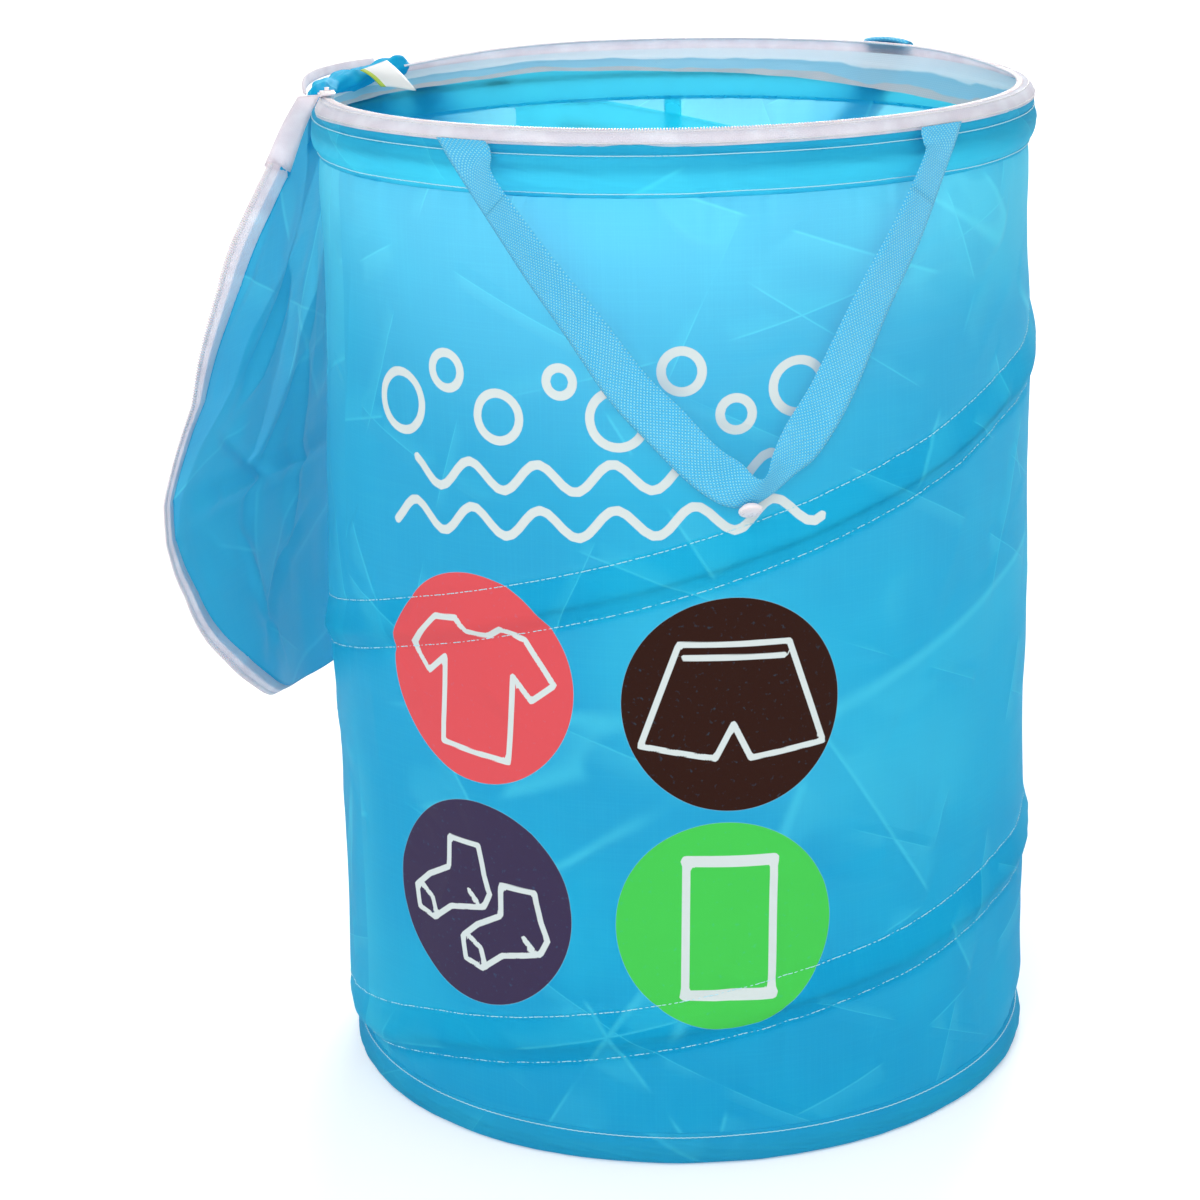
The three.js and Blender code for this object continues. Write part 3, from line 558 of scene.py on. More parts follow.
GARMENT_STROKE = 3.2
MOTIF_STROKE = 4.6
drawings = []
coral, brown, navy, green = DISCS.values()
drawings.append((GARMENT_STROKE, placed(shirt_lines(), coral["azimuth"], coral["height"], 6.0, (1, -2))))
drawings.append((GARMENT_STROKE, placed(shorts_lines(), brown["azimuth"], brown["height"], 1.5, (1, 2))))
for shift in ((-14, 9), (20, -11)):
    drawings.append((GARMENT_STROKE, placed(sock_lines(), navy["azimuth"], navy["height"], -4.0, shift)))
towel = placed(towel_lines(), green["azimuth"], green["height"], 1.5, (2.5, -1))
drawings.append((6.0, [towel[0], towel[2]]))
drawings.append((4.2, [towel[1], towel[3]]))

MOTIF_AZIMUTH = 257.0
waves = [wave_line(-122, 112, -31, 7, 39), wave_line(-104, 96, -8, 7, 39)]
bubbles = [bubble_line(*spot) for spot in (
    (-112, 26, 15), (-78, 44, 9), (-49, 22, 12), (-14, 40, 7), (14, 21, 14), (47, 43, 10),
    (72, 20, 8), (104, 30, 13))]
drawings.append((MOTIF_STROKE, placed(waves + bubbles, MOTIF_AZIMUTH, 375.0, -3.0)))


def distance_to_lines(arcs, heights):
    """Millimetres from the edge of the nearest stroke, below 0 inside it, for arrays of places."""
    nearest = np.full(arcs.shape, 60.0)
    for stroke, lines in drawings:
        for line in lines:
            for (ax, ay), (bx, by) in zip(line, line[1:]):
                dx, dy = bx - ax, by - ay
                share = ((arcs - ax) * dx + (heights - ay) * dy) / max(dx * dx + dy * dy, 1e-9)
                share = np.clip(share, 0, 1)
                gap = np.hypot(arcs - ax - share * dx, heights - ay - share * dy)
                nearest = np.minimum(nearest, gap - stroke / 2)
    return nearest


print("line drawings", sum(len(lines) for _, lines in drawings))

# %% [markdown]
# ## Sheets of cloth
# Every cloth piece here is a grid of points that a formula bends: the wall, the hems, the lid, the
# tapes. So one helper turns a grid of places into a mesh with its flat map in metres. A formula
# works in millimetres, round and up the hamper, and the helper makes metres of it.

# %% Mesh helpers
def ramp(value, low, high):
    """0 below low, 1 above high and smooth between, for arrays."""
    share = np.clip((value - low) / (high - low), 0, 1)
    return share * share * (3 - 2 * share)


def polar(azimuths, radii, heights):
    angles = np.radians(azimuths)
    return np.stack(np.broadcast_arrays(radii * np.cos(angles), radii * np.sin(angles), heights), -1)


def soft_noise(around, upward, cells_around, cells_up, seed):
    """Smooth noise from -1 to 1. around and upward run from 0 to 1, and around closes on itself."""
    lattice = np.random.default_rng(seed).uniform(-1, 1, (cells_around, cells_up + 2))
    x = np.mod(around, 1.0) * cells_around
    y = np.clip(upward, 0, 1) * cells_up
    x0, y0 = np.floor(x).astype(int), np.floor(y).astype(int)
    fx, fy = x - x0, y - y0
    fx, fy = fx * fx * (3 - 2 * fx), fy * fy * (3 - 2 * fy)
    x0, x1 = x0 % cells_around, (x0 + 1) % cells_around
    low = lattice[x0, y0] * (1 - fx) + lattice[x1, y0] * fx
    high = lattice[x0, y0 + 1] * (1 - fx) + lattice[x1, y0 + 1] * fx
    return low * (1 - fy) + high * fy


def sheet_mesh(name, places, flat, finish, wrap_rows=False, wrap_columns=False, caps=False, pole=None):
    """A mesh from a grid of places in millimetres, rows by columns. flat holds each place's spot on
    the uncut cloth, across and along. wrap_rows joins the last row to the first, wrap_columns the last
    column. caps closes both ends of a tube, and pole is a place that closes the first row."""
    rows, columns = places.shape[:2]
    grid = np.meshgrid(np.arange(rows - (not wrap_rows)), np.arange(columns - (not wrap_columns)),
                       indexing="ij")
    r, c = grid[0].ravel(), grid[1].ravel()
    r1, c1 = (r + 1) % rows, (c + 1) % columns
    faces = np.stack([r * columns + c, r * columns + c1, r1 * columns + c1, r1 * columns + c], 1)
    spots = flat.reshape(-1, 2)
    corner_spots = spots[faces]
    corner_spots[c1 < c, 1:3, 0] += np.ptp(flat[..., 0]) + abs(flat[0, -1, 0] - flat[0, -2, 0])
    corner_spots[r1 < r, 2:4, 1] += np.ptp(flat[..., 1]) + abs(flat[-1, 0, 1] - flat[-2, 0, 1])
    corner_spots = corner_spots.reshape(-1, 2)
    polygons = faces.tolist()
    vertices = places.reshape(-1, 3)
    if caps:
        first, last = list(range(columns))[::-1], list(range((rows - 1) * columns, rows * columns))
        polygons += [first, last]
        corner_spots = np.concatenate([corner_spots, spots[first], spots[last]])
    if pole is not None:
        vertices = np.concatenate([vertices, [pole]])
        centre_spot = spots[:columns].mean(0)
        for k in range(columns):
            fan = [(k + 1) % columns, k]
            polygons.append([*fan, len(vertices) - 1])
            corner_spots = np.concatenate([corner_spots, spots[fan], [centre_spot]])
    mesh = bpy.data.meshes.new(name)
    mesh.from_pydata((vertices * MM).tolist(), [], polygons)
    layer = mesh.uv_layers.new(name="flat")
    layer.data.foreach_set("uv", (corner_spots * MM).reshape(-1).astype(np.float32))
    is_cap = np.arange(len(polygons)) >= len(faces)
    mesh.polygons.foreach_set("use_smooth", ~is_cap if caps else np.ones(len(polygons), bool))
    mesh.materials.append(finish)
    if (caps or wrap_rows) and wrap_columns and inside_out(vertices, faces):
        mesh.flip_normals()
    piece = bpy.data.objects.new(name, mesh)
    bpy.context.scene.collection.objects.link(piece)
    return piece


def inside_out(vertices, faces):
    """Whether a closed shell's faces point inwards, by the sign of its volume."""
    a, b, c, d = (vertices[faces[:, k]] for k in range(4))
    return (np.einsum("ij,ij->i", a, np.cross(b, c)) + np.einsum("ij,ij->i", a, np.cross(c, d))).sum() < 0


def smooth_loop(points, steps, closed=True):
    """A smooth curve through points, with some steps between each two of them."""
    points = np.array(points, float)
    if closed:
        before, start, end, after = (np.roll(points, shift, 0) for shift in (1, 0, -1, -2))
    else:
        padded = np.concatenate([[2 * points[0] - points[1]], points, [2 * points[-1] - points[-2]]])
        before, start, end, after = padded[:-3], padded[1:-2], padded[2:-1], padded[3:]
    t = np.linspace(0, 1, steps, endpoint=False)[None, :, None]
    before, start, end, after = (part[:, None, :] for part in (before, start, end, after))
    curve = 0.5 * (2 * start + (end - before) * t + (2 * before - 5 * start + 4 * end - after) * t ** 2
                   + (3 * (start - end) + after - before) * t ** 3)
    curve = curve.reshape(-1, points.shape[1])
    return curve if closed else np.concatenate([curve, points[-1:]])


def lengths_along(path):
    return np.concatenate([[0], np.cumsum(np.linalg.norm(np.diff(path, axis=0), axis=1))])


def unit(vectors):
    return vectors / np.linalg.norm(vectors, axis=-1, keepdims=True)


def tube_mesh(name, path, radii, finish, sides=8, closed=False, lift=None):
    """A round cord along a path in millimetres. lift is the direction that its first side faces."""
    ahead = np.roll(path, -1, 0) - np.roll(path, 1, 0)
    if not closed:
        ahead[0], ahead[-1] = path[1] - path[0], path[-1] - path[-2]
    ahead = unit(ahead)
    lift = path * (1, 1, 0) if lift is None else lift
    side = unit(np.cross(ahead, lift))
    up = np.cross(side, ahead)
    angles = np.linspace(0, 2 * math.pi, sides, endpoint=False)
    radii = np.broadcast_to(radii, len(path))[:, None, None]
    places = path[:, None] + radii * (np.cos(angles)[None, :, None] * up[:, None]
                                      + np.sin(angles)[None, :, None] * side[:, None])
    flat = np.stack(np.broadcast_arrays((angles * radii.mean())[None, :], lengths_along(path)[:, None]), -1)
    return sheet_mesh(name, places, flat, finish, wrap_rows=closed, wrap_columns=True, caps=not closed)


def only(piece):
    bpy.ops.object.select_all(action="DESELECT")
    piece.select_set(True)
    bpy.context.view_layer.objects.active = piece


print("sheet helper ready")

# %% [markdown]
# ## Measures that follow the frame
# Radii and heights are read from the frame's nodes, so the cloth fits the frame by itself. The
# helix is the one line that no box gives: it repeats the few shares of the wall's height that the
# spring passes on its way round.

# %% Measures
def node_reach(node):
    """Largest distance of a node from the body's axis, in millimetres."""
    places = np.array([v.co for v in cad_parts[node].data.vertices])
    return float(np.hypot(places[:, 0], places[:, 1]).max()) / MM


def node_span(node):
    low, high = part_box(node)
    return low.z / MM, high.z / MM


WALL_RADIUS = node_reach("side_wall")
WALL_HEIGHT = node_span("side_wall")[1]
HEM_RADIUS = node_reach("top_hem")
HEM_BOTTOM, HEM_TOP = node_span("top_hem")
BASE_HEM_TOP = node_span("base_hem")[1]
COIL_HEIGHT = sum(node_span("rim_zip_coil")) / 2
HELIX_START, HELIX_END = 186.0, 840.0
HELIX_SHARES = (0.042, 0.179, 0.297, 0.437, 0.611, 0.822, 0.985)
print("wall", round(WALL_RADIUS, 1), round(WALL_HEIGHT, 1), "hem", round(HEM_RADIUS, 1), round(HEM_TOP, 1))


def helix_height(azimuths):
    """Height of the spring at an azimuth counted on from its lower end."""
    shares = np.array(HELIX_SHARES)
    last = len(shares) - 1
    padded = np.concatenate([[2 * shares[0] - shares[1]], shares, [2 * shares[-1] - shares[-2]]])
    place = np.clip((azimuths - HELIX_START) / (HELIX_END - HELIX_START), 0, 1) * last
    index = np.minimum(np.floor(place).astype(int), last - 1)
    before, start, end, after = (padded[index + k] for k in range(4))
    t = place - index
    bend = 2 * before - 5 * start + 4 * end - after
    twist = 3 * (start - end) + after - before
    return WALL_HEIGHT * 0.5 * (2 * start + (end - before) * t + bend * t * t + twist * t ** 3)


# %% [markdown]
# ## Wall of the body
# One tube of taffeta. The spring in its casing pushes out a ridge that climbs round the body, steep
# below the wire and gentle above it. Between the turns the cloth hangs in shallow hollows, and each
# row of stitches draws it in with short puckers. Simulation would smooth these sewn details away,
# so the shape is written as a sum of them. The cloth stays one thin sheet, because light has to
# shine through it.

# %% Wall: shape of the cloth
CASING_BELOW = 9.0
CASING_ABOVE = 17.0
RIDGE_HEIGHT = 3.0
CLOTH_RADIUS = 188.2
STITCH_PULL = 0.7
HOLLOW = 1.3
FULL_BELOW = (330, 400)
FOLD_COUNT, FOLD_SEED = 150, 43


def bands_at(azimuths):
    """The heights of the spring's turns at these azimuths, with how much of each turn is there."""
    first = HELIX_START + np.mod(azimuths - HELIX_START, 360)
    found = []
    for turn_number in range(2):
        along = first + 360 * turn_number
        there = ramp(along, HELIX_START, HELIX_START + 6) * (1 - ramp(along, HELIX_END - 6, HELIX_END))
        found.append((helix_height(along), there, along))
    return found


def ridge_profile(offset):
    """Lift of the cloth beside the wire, from the lower to the upper row of stitches."""
    below = np.clip(1 + offset / CASING_BELOW, 0, 1)
    above = np.clip(1 - offset / CASING_ABOVE, 0, 1)
    tent = np.minimum(below, above)
    return RIDGE_HEIGHT * (0.55 * tent + 0.45 * tent * tent * (3 - 2 * tent))


def puckers(arcs_turn, offset, reach, seed):
    """Short ripples that a row of stitches draws into the cloth, fading away from the row."""
    ripple = soft_noise(arcs_turn, np.zeros_like(arcs_turn), 150, 1, seed)
    ripple = ripple + 0.5 * soft_noise(arcs_turn, np.zeros_like(arcs_turn), 260, 1, seed + 1)
    return ripple * np.exp(-np.abs(offset) / reach)


def pressed_folds(arcs, heights, count, seed):
    """Long straight creases in random directions, as a sharp low ridge with sloping sides."""
    rng = np.random.default_rng(seed)
    lift = np.zeros_like(arcs)
    round_length = 2 * math.pi * CLOTH_RADIUS
    for _ in range(count):
        x, y = rng.uniform(0, round_length), rng.uniform(30, WALL_HEIGHT - 30)
        angle = rng.uniform(0, math.pi)
        half = rng.uniform(25, 95)
        strength = rng.uniform(-0.65, 0.8)
        width = rng.uniform(6, 15)
        dx = np.mod(arcs - x + round_length / 2, round_length) - round_length / 2
        dy = heights - y
        along = dx * math.cos(angle) + dy * math.sin(angle)
        away = np.abs(dy * math.cos(angle) - dx * math.sin(angle))
        tent = np.clip(1 - away / width, 0, 1)
        lift += strength * tent * tent * (1 - ramp(np.abs(along), half * 0.5, half))
    return lift


def wall_radius(azimuths, heights):
    """Distance of the wall's cloth from the axis, in millimetres, for arrays of places."""
    azimuths, heights = np.broadcast_arrays(azimuths, heights)
    around = np.mod(azimuths, 360) / 360
    upward = heights / WALL_HEIGHT
    arcs = np.radians(np.mod(azimuths - PRINT_START_AZIMUTH, 360)) * PRINT_RADIUS
    radius = np.full(azimuths.shape, CLOTH_RADIUS)
    hollow = np.ones_like(radius)
    for height, there, _ in bands_at(azimuths):
        offset = heights - height
        radius = radius + there * ridge_profile(offset)
        for row, reach in ((-CASING_BELOW, 7.0), (CASING_ABOVE, 8.0)):
            groove = np.exp(-((offset - row) / 1.7) ** 2)
            radius = radius - there * STITCH_PULL * groove
            radius = radius + there * 0.38 * puckers(around, offset - row, reach, 11 if row < 0 else 17)
        near = np.exp(-((offset - 4) / 42) ** 2)
        hollow = hollow * (1 - there * near)
    to_top = WALL_HEIGHT - heights
    to_base = heights - BASE_HEM_TOP
    hollow = hollow * ramp(to_top, 0, 60) * ramp(to_base, 0, 50)
    radius = radius - HOLLOW * hollow
    full = 3.6 * ramp(np.cos(np.radians(azimuths - 2)), 0.84, 0.97)
    low = 1 - ramp(heights, *FULL_BELOW)
    full = full + (2.5 + 4.0 * low) * ramp(np.cos(np.radians(azimuths - 188)), 0.8, 0.96)
    radius = radius + full * ramp(to_top, 20, 120) * ramp(to_base, 0, 22)
    radius = radius - 2.1 * np.exp(-to_top / 6.0) - 1.2 * np.exp(-np.clip(to_base, 0, None) / 4.0)
    radius = radius + 0.75 * puckers(around, to_top, 16.0, 23)
    radius = radius + 0.5 * puckers(around, to_base, 9.0, 29)
    calm = ramp(to_top, 0, 25) * ramp(to_base, 0, 25)
    broad = 1.0 * soft_noise(around - 0.12 * upward, upward, 13, 6, 31)
    broad = broad + 0.55 * soft_noise(around + 0.2 * upward, upward, 29, 9, 37)
    broad = broad + 0.22 * soft_noise(around - 0.3 * upward, upward, 71, 20, 41)
    folds = pressed_folds(arcs, heights, FOLD_COUNT, FOLD_SEED)
    return radius + calm * (broad + folds)


# %% Wall: mesh
def wall_azimuths():
    """Steps round the wall, finer on the printed front, so that the ink's edges stay sharp."""
    front_end = 305.0
    front = np.arange(PRINT_START_AZIMUTH, front_end, 0.42)
    rest = np.linspace(front_end, PRINT_START_AZIMUTH + 360, 246, endpoint=False)
    return np.concatenate([front, rest])


def build_wall():
    azimuths, heights = np.meshgrid(wall_azimuths(), np.linspace(0.4, WALL_HEIGHT, 200))
    places = polar(azimuths, wall_radius(azimuths, heights), heights)
    arcs = np.radians(azimuths - PRINT_START_AZIMUTH) * PRINT_RADIUS
    flat = np.stack([arcs, heights], -1)
    piece = sheet_mesh("wall_cloth", places, flat, wall_cloth_finish, wrap_columns=True)
    attribute = piece.data.attributes.new("line_distance", "FLOAT", "POINT")
    attribute.data.foreach_set("value", distance_to_lines(arcs, heights).ravel().astype(np.float32))
    return piece


wall_cloth = build_wall()
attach(wall_cloth, "base")


def crumple_with_wall(piece):
    """Gives the piece a mesh of its own."""
    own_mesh(piece)


crumple_with_wall(wall_cloth)
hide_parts("side_wall", "helix_sleeve")

# %% [markdown]
# ## Base cloth
# A round cloth closes the bottom. It is sewn in at the edge and lies on the floor in low waves. It
# could be a flat disc, but the waves catch the light that falls through the mouth.

# %% Base cloth
def round_sheet(name, radii, turns, lift_at, finish):
    """A round cloth about the axis. lift_at gives the height for arrays of radii and azimuths."""
    radius_grid, turn_grid = np.meshgrid(radii, turns, indexing="ij")
    places = polar(turn_grid, radius_grid, lift_at(radius_grid, turn_grid))
    flat = places[..., :2].copy()
    return sheet_mesh(name, places, flat, finish, wrap_columns=True, pole=(0, 0, float(lift_at(0, 0))))


BASE_CLOTH_RADIUS = 186.4


def base_cloth_height(radii, azimuths):
    share = radii / BASE_CLOTH_RADIUS
    waves = 0.55 + 0.3 * np.sin(np.radians(azimuths) * 3 + 5 * share) + 0.22 * np.sin(
        np.radians(azimuths) * 8 - 9 * share)
    return 0.5 + 2.2 * share * (1 - share) * 4 * waves * 0.5


base_cloth = round_sheet("base_cloth", np.linspace(6, BASE_CLOTH_RADIUS, 44), np.arange(0, 360, 2.5),
                         base_cloth_height, hem_cloth)
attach(base_cloth, "base")
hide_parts("base_panel")
print("base cloth", len(base_cloth.data.polygons), "faces")

# %% [markdown]
# ## Hems
# Each end of the tube is turned over a wire ring and sewn down. The casing is a closed tube of cloth
# with a soft, uneven section: full where the ring fills it and drawn in at the rows of stitches. The
# section is a smooth closed curve, and a noise lets it swell and sink on its way round.

# %% Hems: section and sway
HEM_STEPS = 5
INNER_LAYER_RADIUS = 187.2
BASE_HEM_POINTS = ((187.6, 16.6), (188.6, 15.2), (189.5, 12.2), (191.0, 8.6), (191.3, 5.2), (190.6, 1.7),
                   (188.9, 0.2), (187.2, 0.7), (186.6, 4.2), (186.8, 9.5), (187.0, 15.6))
TOP_HEM_POINTS = ((187.3, 503.8), (188.0, 506.4), (189.9, 509.6), (190.9, 514.6), (191.2, 518.4),
                  (190.5, 522.4), (189.8, 524.1), (190.5, 526.2), (190.3, 528.8), (189.0, 529.9),
                  (187.4, 528.4), (186.8, 523.0), (186.6, 516.0), (186.4, 509.0), (186.3, 504.6))
STITCH_HEIGHTS = {"base": 15.1, "low": 505.9, "high": 524.1}


def sway(azimuths, seed, reach=0.8):
    """How far a sewn line wanders up and down on its way round, in millimetres."""
    around = np.mod(azimuths, 360) / 360
    level = np.zeros_like(around)
    slow = soft_noise(around, level, 11, 1, seed) + 0.6 * soft_noise(around, level, 27, 1, seed + 1)
    return reach * (slow + 0.25 * soft_noise(around, level, 90, 1, seed + 2))


def hem_mesh(name, points, seed, reach):
    loop = smooth_loop(points, HEM_STEPS)
    azimuths = np.arange(0, 360, 0.75)
    outer = ramp(loop[:, 0], 187.0, 190.5)[None, :]
    around = (azimuths / 360)[:, None]
    up = ((loop[:, 1] - loop[:, 1].min()) / np.ptp(loop[:, 1]))[None, :]
    swell = soft_noise(around, up, 46, 5, seed) * 0.5
    swell = swell + soft_noise(around + 0.1 * up, up, 120, 6, seed + 5) * 0.28
    swell = swell + soft_noise(around - 0.05 * up, up, 310, 3, seed + 7) * 0.12
    radii = loop[None, :, 0] + outer * swell
    heights = loop[None, :, 1] + sway(azimuths, seed, reach)[:, None] * np.sin(up * math.pi)
    places = polar(azimuths[:, None], radii, heights)
    flat = np.stack(np.broadcast_arrays(
        lengths_along(loop)[None, :], (np.radians(azimuths) * PRINT_RADIUS)[:, None]), -1)
    hem = sheet_mesh(name, places, flat, hem_cloth, wrap_rows=True, wrap_columns=True)
    hem.data.materials.append(inner_cloth)
    inner = np.roll(loop[:, 0], -1) + loop[:, 0] < 2 * INNER_LAYER_RADIUS
    hem.data.polygons.foreach_set("material_index", np.tile(inner, len(azimuths)).astype(np.int32))
    return hem


base_hem = hem_mesh("base_hem_casing", BASE_HEM_POINTS, 51, 0.3)
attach(base_hem, "base")
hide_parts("base_hem")
top_hem = hem_mesh("top_hem_casing", TOP_HEM_POINTS, 57, 0.8)
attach(top_hem, "rim")
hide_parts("top_hem")
for wire in ("base_ring_wire", "base_ring_ferrule", "top_ring_wire", "top_ring_ferrule"):
    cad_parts[wire].data.materials.clear()
    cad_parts[wire].data.materials.append(spring_wire_steel)
print("hem casings", base_hem.name, top_hem.name)

# %% [markdown]
# ## Spring wire in its casing
# The spring runs in a strip of cloth that is sewn to the inside of the wall. From outside only its
# ridge shows, from inside the strip itself. The strip follows the helix, so its two edges are two more
# lines along it.

# %% Spring wire and casing strip
HELIX_STEP = 1.5
helix_azimuths = np.arange(HELIX_START, HELIX_END + HELIX_STEP / 2, HELIX_STEP)
helix_heights = helix_height(helix_azimuths)
WIRE_RADIUS, WIRE_COIL_RADIUS = 1.1, 189.3
cloth_over_wire = wall_radius(helix_azimuths, helix_heights)
wire_radii = np.minimum(WIRE_COIL_RADIUS, cloth_over_wire - WIRE_RADIUS - 0.4)
wire_path = polar(helix_azimuths, wire_radii, helix_heights)
wire_inside_strip = wire_path[6:-6]
helix_spring = tube_mesh("helix_spring_wire", wire_inside_strip, WIRE_RADIUS, spring_wire_steel, sides=8)
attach(helix_spring, "base")
crumple_with_wall(helix_spring)
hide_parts("helix_wire")

strip_offsets = np.array([-CASING_BELOW - 2, -CASING_BELOW, -5, -2.5, 0, 2.5, 6, 11, CASING_ABOVE,
                          CASING_ABOVE + 2])
strip_depths = np.array([0.9, 0.7, 1.7, 2.3, 2.5, 2.3, 1.9, 1.3, 0.7, 0.9])
strip_heights = np.clip(helix_heights[:, None] + strip_offsets[None, :], 12, WALL_HEIGHT - 2)
wall_inside = wall_radius(helix_azimuths[:, None], strip_heights)
strip_base = np.minimum(CLOTH_RADIUS, cloth_over_wire - 0.9)[:, None]
strip_radii = np.minimum(wall_inside - 0.5, strip_base - strip_depths[None, :])
strip_places = polar(helix_azimuths[:, None], strip_radii, strip_heights)
strip_flat = np.stack(np.broadcast_arrays(
    strip_offsets[None, :], lengths_along(wire_path)[:, None]), -1).astype(float)
casing_strip = sheet_mesh("helix_casing_strip", strip_places, strip_flat, inner_cloth)
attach(casing_strip, "base")
crumple_with_wall(casing_strip)

# %% [markdown]
# ## Closing seam
# The wall is one rectangle of cloth whose two short edges meet at the back. They are folded into
# each other and sewn with two rows, which makes a narrow strip of several layers.

# %% Closing seam
SEAM_AZIMUTH = 90.0
SEAM_UNDER_HEM = 187.4
seam_heights = np.arange(3.0, WALL_HEIGHT - 0.5, 2.4)
seam_section = smooth_loop([(-4.6, 0.35), (-4.9, 0.0), (-4.6, -0.35), (0, -0.75), (4.6, -0.35), (4.9, 0.0),
                            (4.6, 0.35), (0, 0.45)], 2)
seam_azimuths = SEAM_AZIMUTH + np.degrees(seam_section[None, :, 0] / CLOTH_RADIUS)
seam_wall = wall_radius(np.broadcast_to(seam_azimuths, (len(seam_heights), seam_azimuths.shape[1])),
                        seam_heights[:, None] + 0 * seam_azimuths)
tucked = ramp(seam_heights, WALL_HEIGHT - 12, WALL_HEIGHT - 4)[:, None]
seam_wall = seam_wall + (SEAM_UNDER_HEM - seam_wall) * tucked
seam_places = polar(seam_azimuths, seam_wall + 0.3 + seam_section[None, :, 1], seam_heights[:, None])
seam_flat = np.stack(np.broadcast_arrays(
    lengths_along(seam_section)[None, :], seam_heights[:, None]), -1).astype(float)
closing_seam = sheet_mesh("closing_seam", seam_places, seam_flat, inner_cloth, wrap_columns=True, caps=True)
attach(closing_seam, "base")
crumple_with_wall(closing_seam)
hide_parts("side_seam")
print("closing seam", len(closing_seam.data.polygons), "faces")

# %% [markdown]
# ## Sewing
# Every row of stitches is one thread that comes up and dips down every three millimetres. A thin
# tube whose centre line rises and falls along the row shows that at a few faces for each stitch.
# Separate capsules would do as well, but the dips would then be gaps.

# %% Sewing: one helper for all rows
STITCH_LENGTH = 3.1
THREAD_RADIUS = 0.26
STATIONS_PER_STITCH = 5


def thread_row(name, path_at, length, finish, body, closed=False, squashed=False, lift_at=None):
    """A row of stitches. path_at gives places on the cloth for shares from 0 to 1 of the row."""
    stitches = int(round(length / STITCH_LENGTH))
    shares = np.linspace(0, 1, stitches * STATIONS_PER_STITCH + 1)
    if closed:
        shares = shares[:-1]
    path = path_at(shares)
    out = unit(path * (1, 1, 0)) if lift_at is None else lift_at(shares)
    phase = (np.arange(len(shares)) % STATIONS_PER_STITCH) / STATIONS_PER_STITCH
    rise = 0.42 * np.sin(math.pi * phase) - 0.16
    path = path + out * rise[:, None]
    row = tube_mesh(name, path, THREAD_RADIUS, finish, sides=5, closed=closed, lift=out)
    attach(row, body)
    if squashed:
        crumple_with_wall(row)
    return row


def round_row(level, seed, reach, radius_at):
    def path_at(shares):
        azimuths = 360 * shares
        heights = level + sway(azimuths, seed, reach)
        return polar(azimuths, radius_at(azimuths, heights), heights)
    return path_at


ROUND_LENGTH = 2 * math.pi * 190
thread_row("base_hem_stitches", round_row(STITCH_HEIGHTS["base"], 51, 0.3, lambda a, h: 188.8 + 0 * a),
           ROUND_LENGTH, thread_pale, "base", closed=True)
thread_row("top_hem_low_stitches", round_row(STITCH_HEIGHTS["low"], 57, 0.5, lambda a, h: 188.0 + 0 * a),
           ROUND_LENGTH, thread_pale, "rim", closed=True)
thread_row("top_hem_high_stitches", round_row(STITCH_HEIGHTS["high"], 57, 0.25, lambda a, h: 190.1 + 0 * a),
           ROUND_LENGTH, thread_pale, "rim", closed=True)


def helix_row(offset):
    def path_at(shares):
        azimuths = HELIX_START + (HELIX_END - HELIX_START) * shares
        heights = np.clip(helix_height(azimuths) + offset, 17, WALL_HEIGHT - 3)
        return polar(azimuths, wall_radius(azimuths, heights), heights)
    return path_at


helix_length = float(lengths_along(wire_path)[-1])
for side, offset in (("low", -CASING_BELOW), ("high", CASING_ABOVE)):
    thread_row("helix_" + side + "_stitches", helix_row(offset), helix_length, thread_pale, "base",
               squashed=True)
print("rows of", STITCH_LENGTH, "mm stitches sewn")

# %% [markdown]
# ## Zip on the rim
# The white zip tape stands on the hem and rolls inwards to its row of teeth. At the back it stands
# nearly upright. Its section is a thin closed strip, which changes a little on the way round. The
# teeth are one moulded loop, modelled once and set side by side, so it has few faces.

# %% Zip tape of the rim
ZIP_START, ZIP_END = 186.6, 506.4
COIL_RADIUS = 182.0
TAPE_POINTS = np.array((
    (190.6, 528.4), (190.7, 529.4), (190.3, 531.2), (189.2, 533.2), (187.6, 534.7), (185.4, 535.3),
    (183.2, 535.2), (182.9, 534.8), (183.2, 534.5), (185.3, 534.6), (187.2, 534.0), (188.6, 532.6),
    (189.6, 530.9), (190.0, 529.2)))
REAR_RISE = 4.0
TAPE_STEPS = 3
TAPE_FOOT, TAPE_CREST, TAPE_HEIGHT = 528.4, 534.8, 6.9


def rear_share(azimuths):
    """1 at the back of the rim, where the tape stands up, and 0 from the sides forward."""
    return ramp(np.cos(np.radians(azimuths - 78)), 0.35, 0.9)


def tape_section(azimuths, loop):
    azimuths = azimuths[:, None]
    back = rear_share(azimuths)
    height = (loop[None, :, 1] - TAPE_FOOT) / TAPE_HEIGHT
    rise = REAR_RISE * back * ramp(height, 0, 0.4)
    wander = sway(azimuths, 61, 0.45) * (1 - height)
    lean = 0.35 * sway(azimuths, 67, 1.0) * np.sin(np.clip(height, 0, 1) * math.pi)
    whole = ramp(azimuths, ZIP_START - 1, ZIP_START + 11)
    share = 0.3 + 0.7 * whole
    radii = COIL_RADIUS + 1 + (loop[None, :, 0] + lean - COIL_RADIUS - 1) * share
    heights = TAPE_CREST + (loop[None, :, 1] + wander - TAPE_CREST) * share
    return radii, heights + rise


def rim_band(name, points, azimuths, finish):
    loop = smooth_loop(points, TAPE_STEPS)
    radii, heights = tape_section(azimuths, loop)
    flat = np.stack(np.broadcast_arrays(
        lengths_along(loop)[None, :], (np.radians(azimuths) * PRINT_RADIUS)[:, None]), -1)
    places = polar(azimuths[:, None], radii, heights)
    return sheet_mesh(name, places, flat, finish, wrap_columns=True, caps=True)


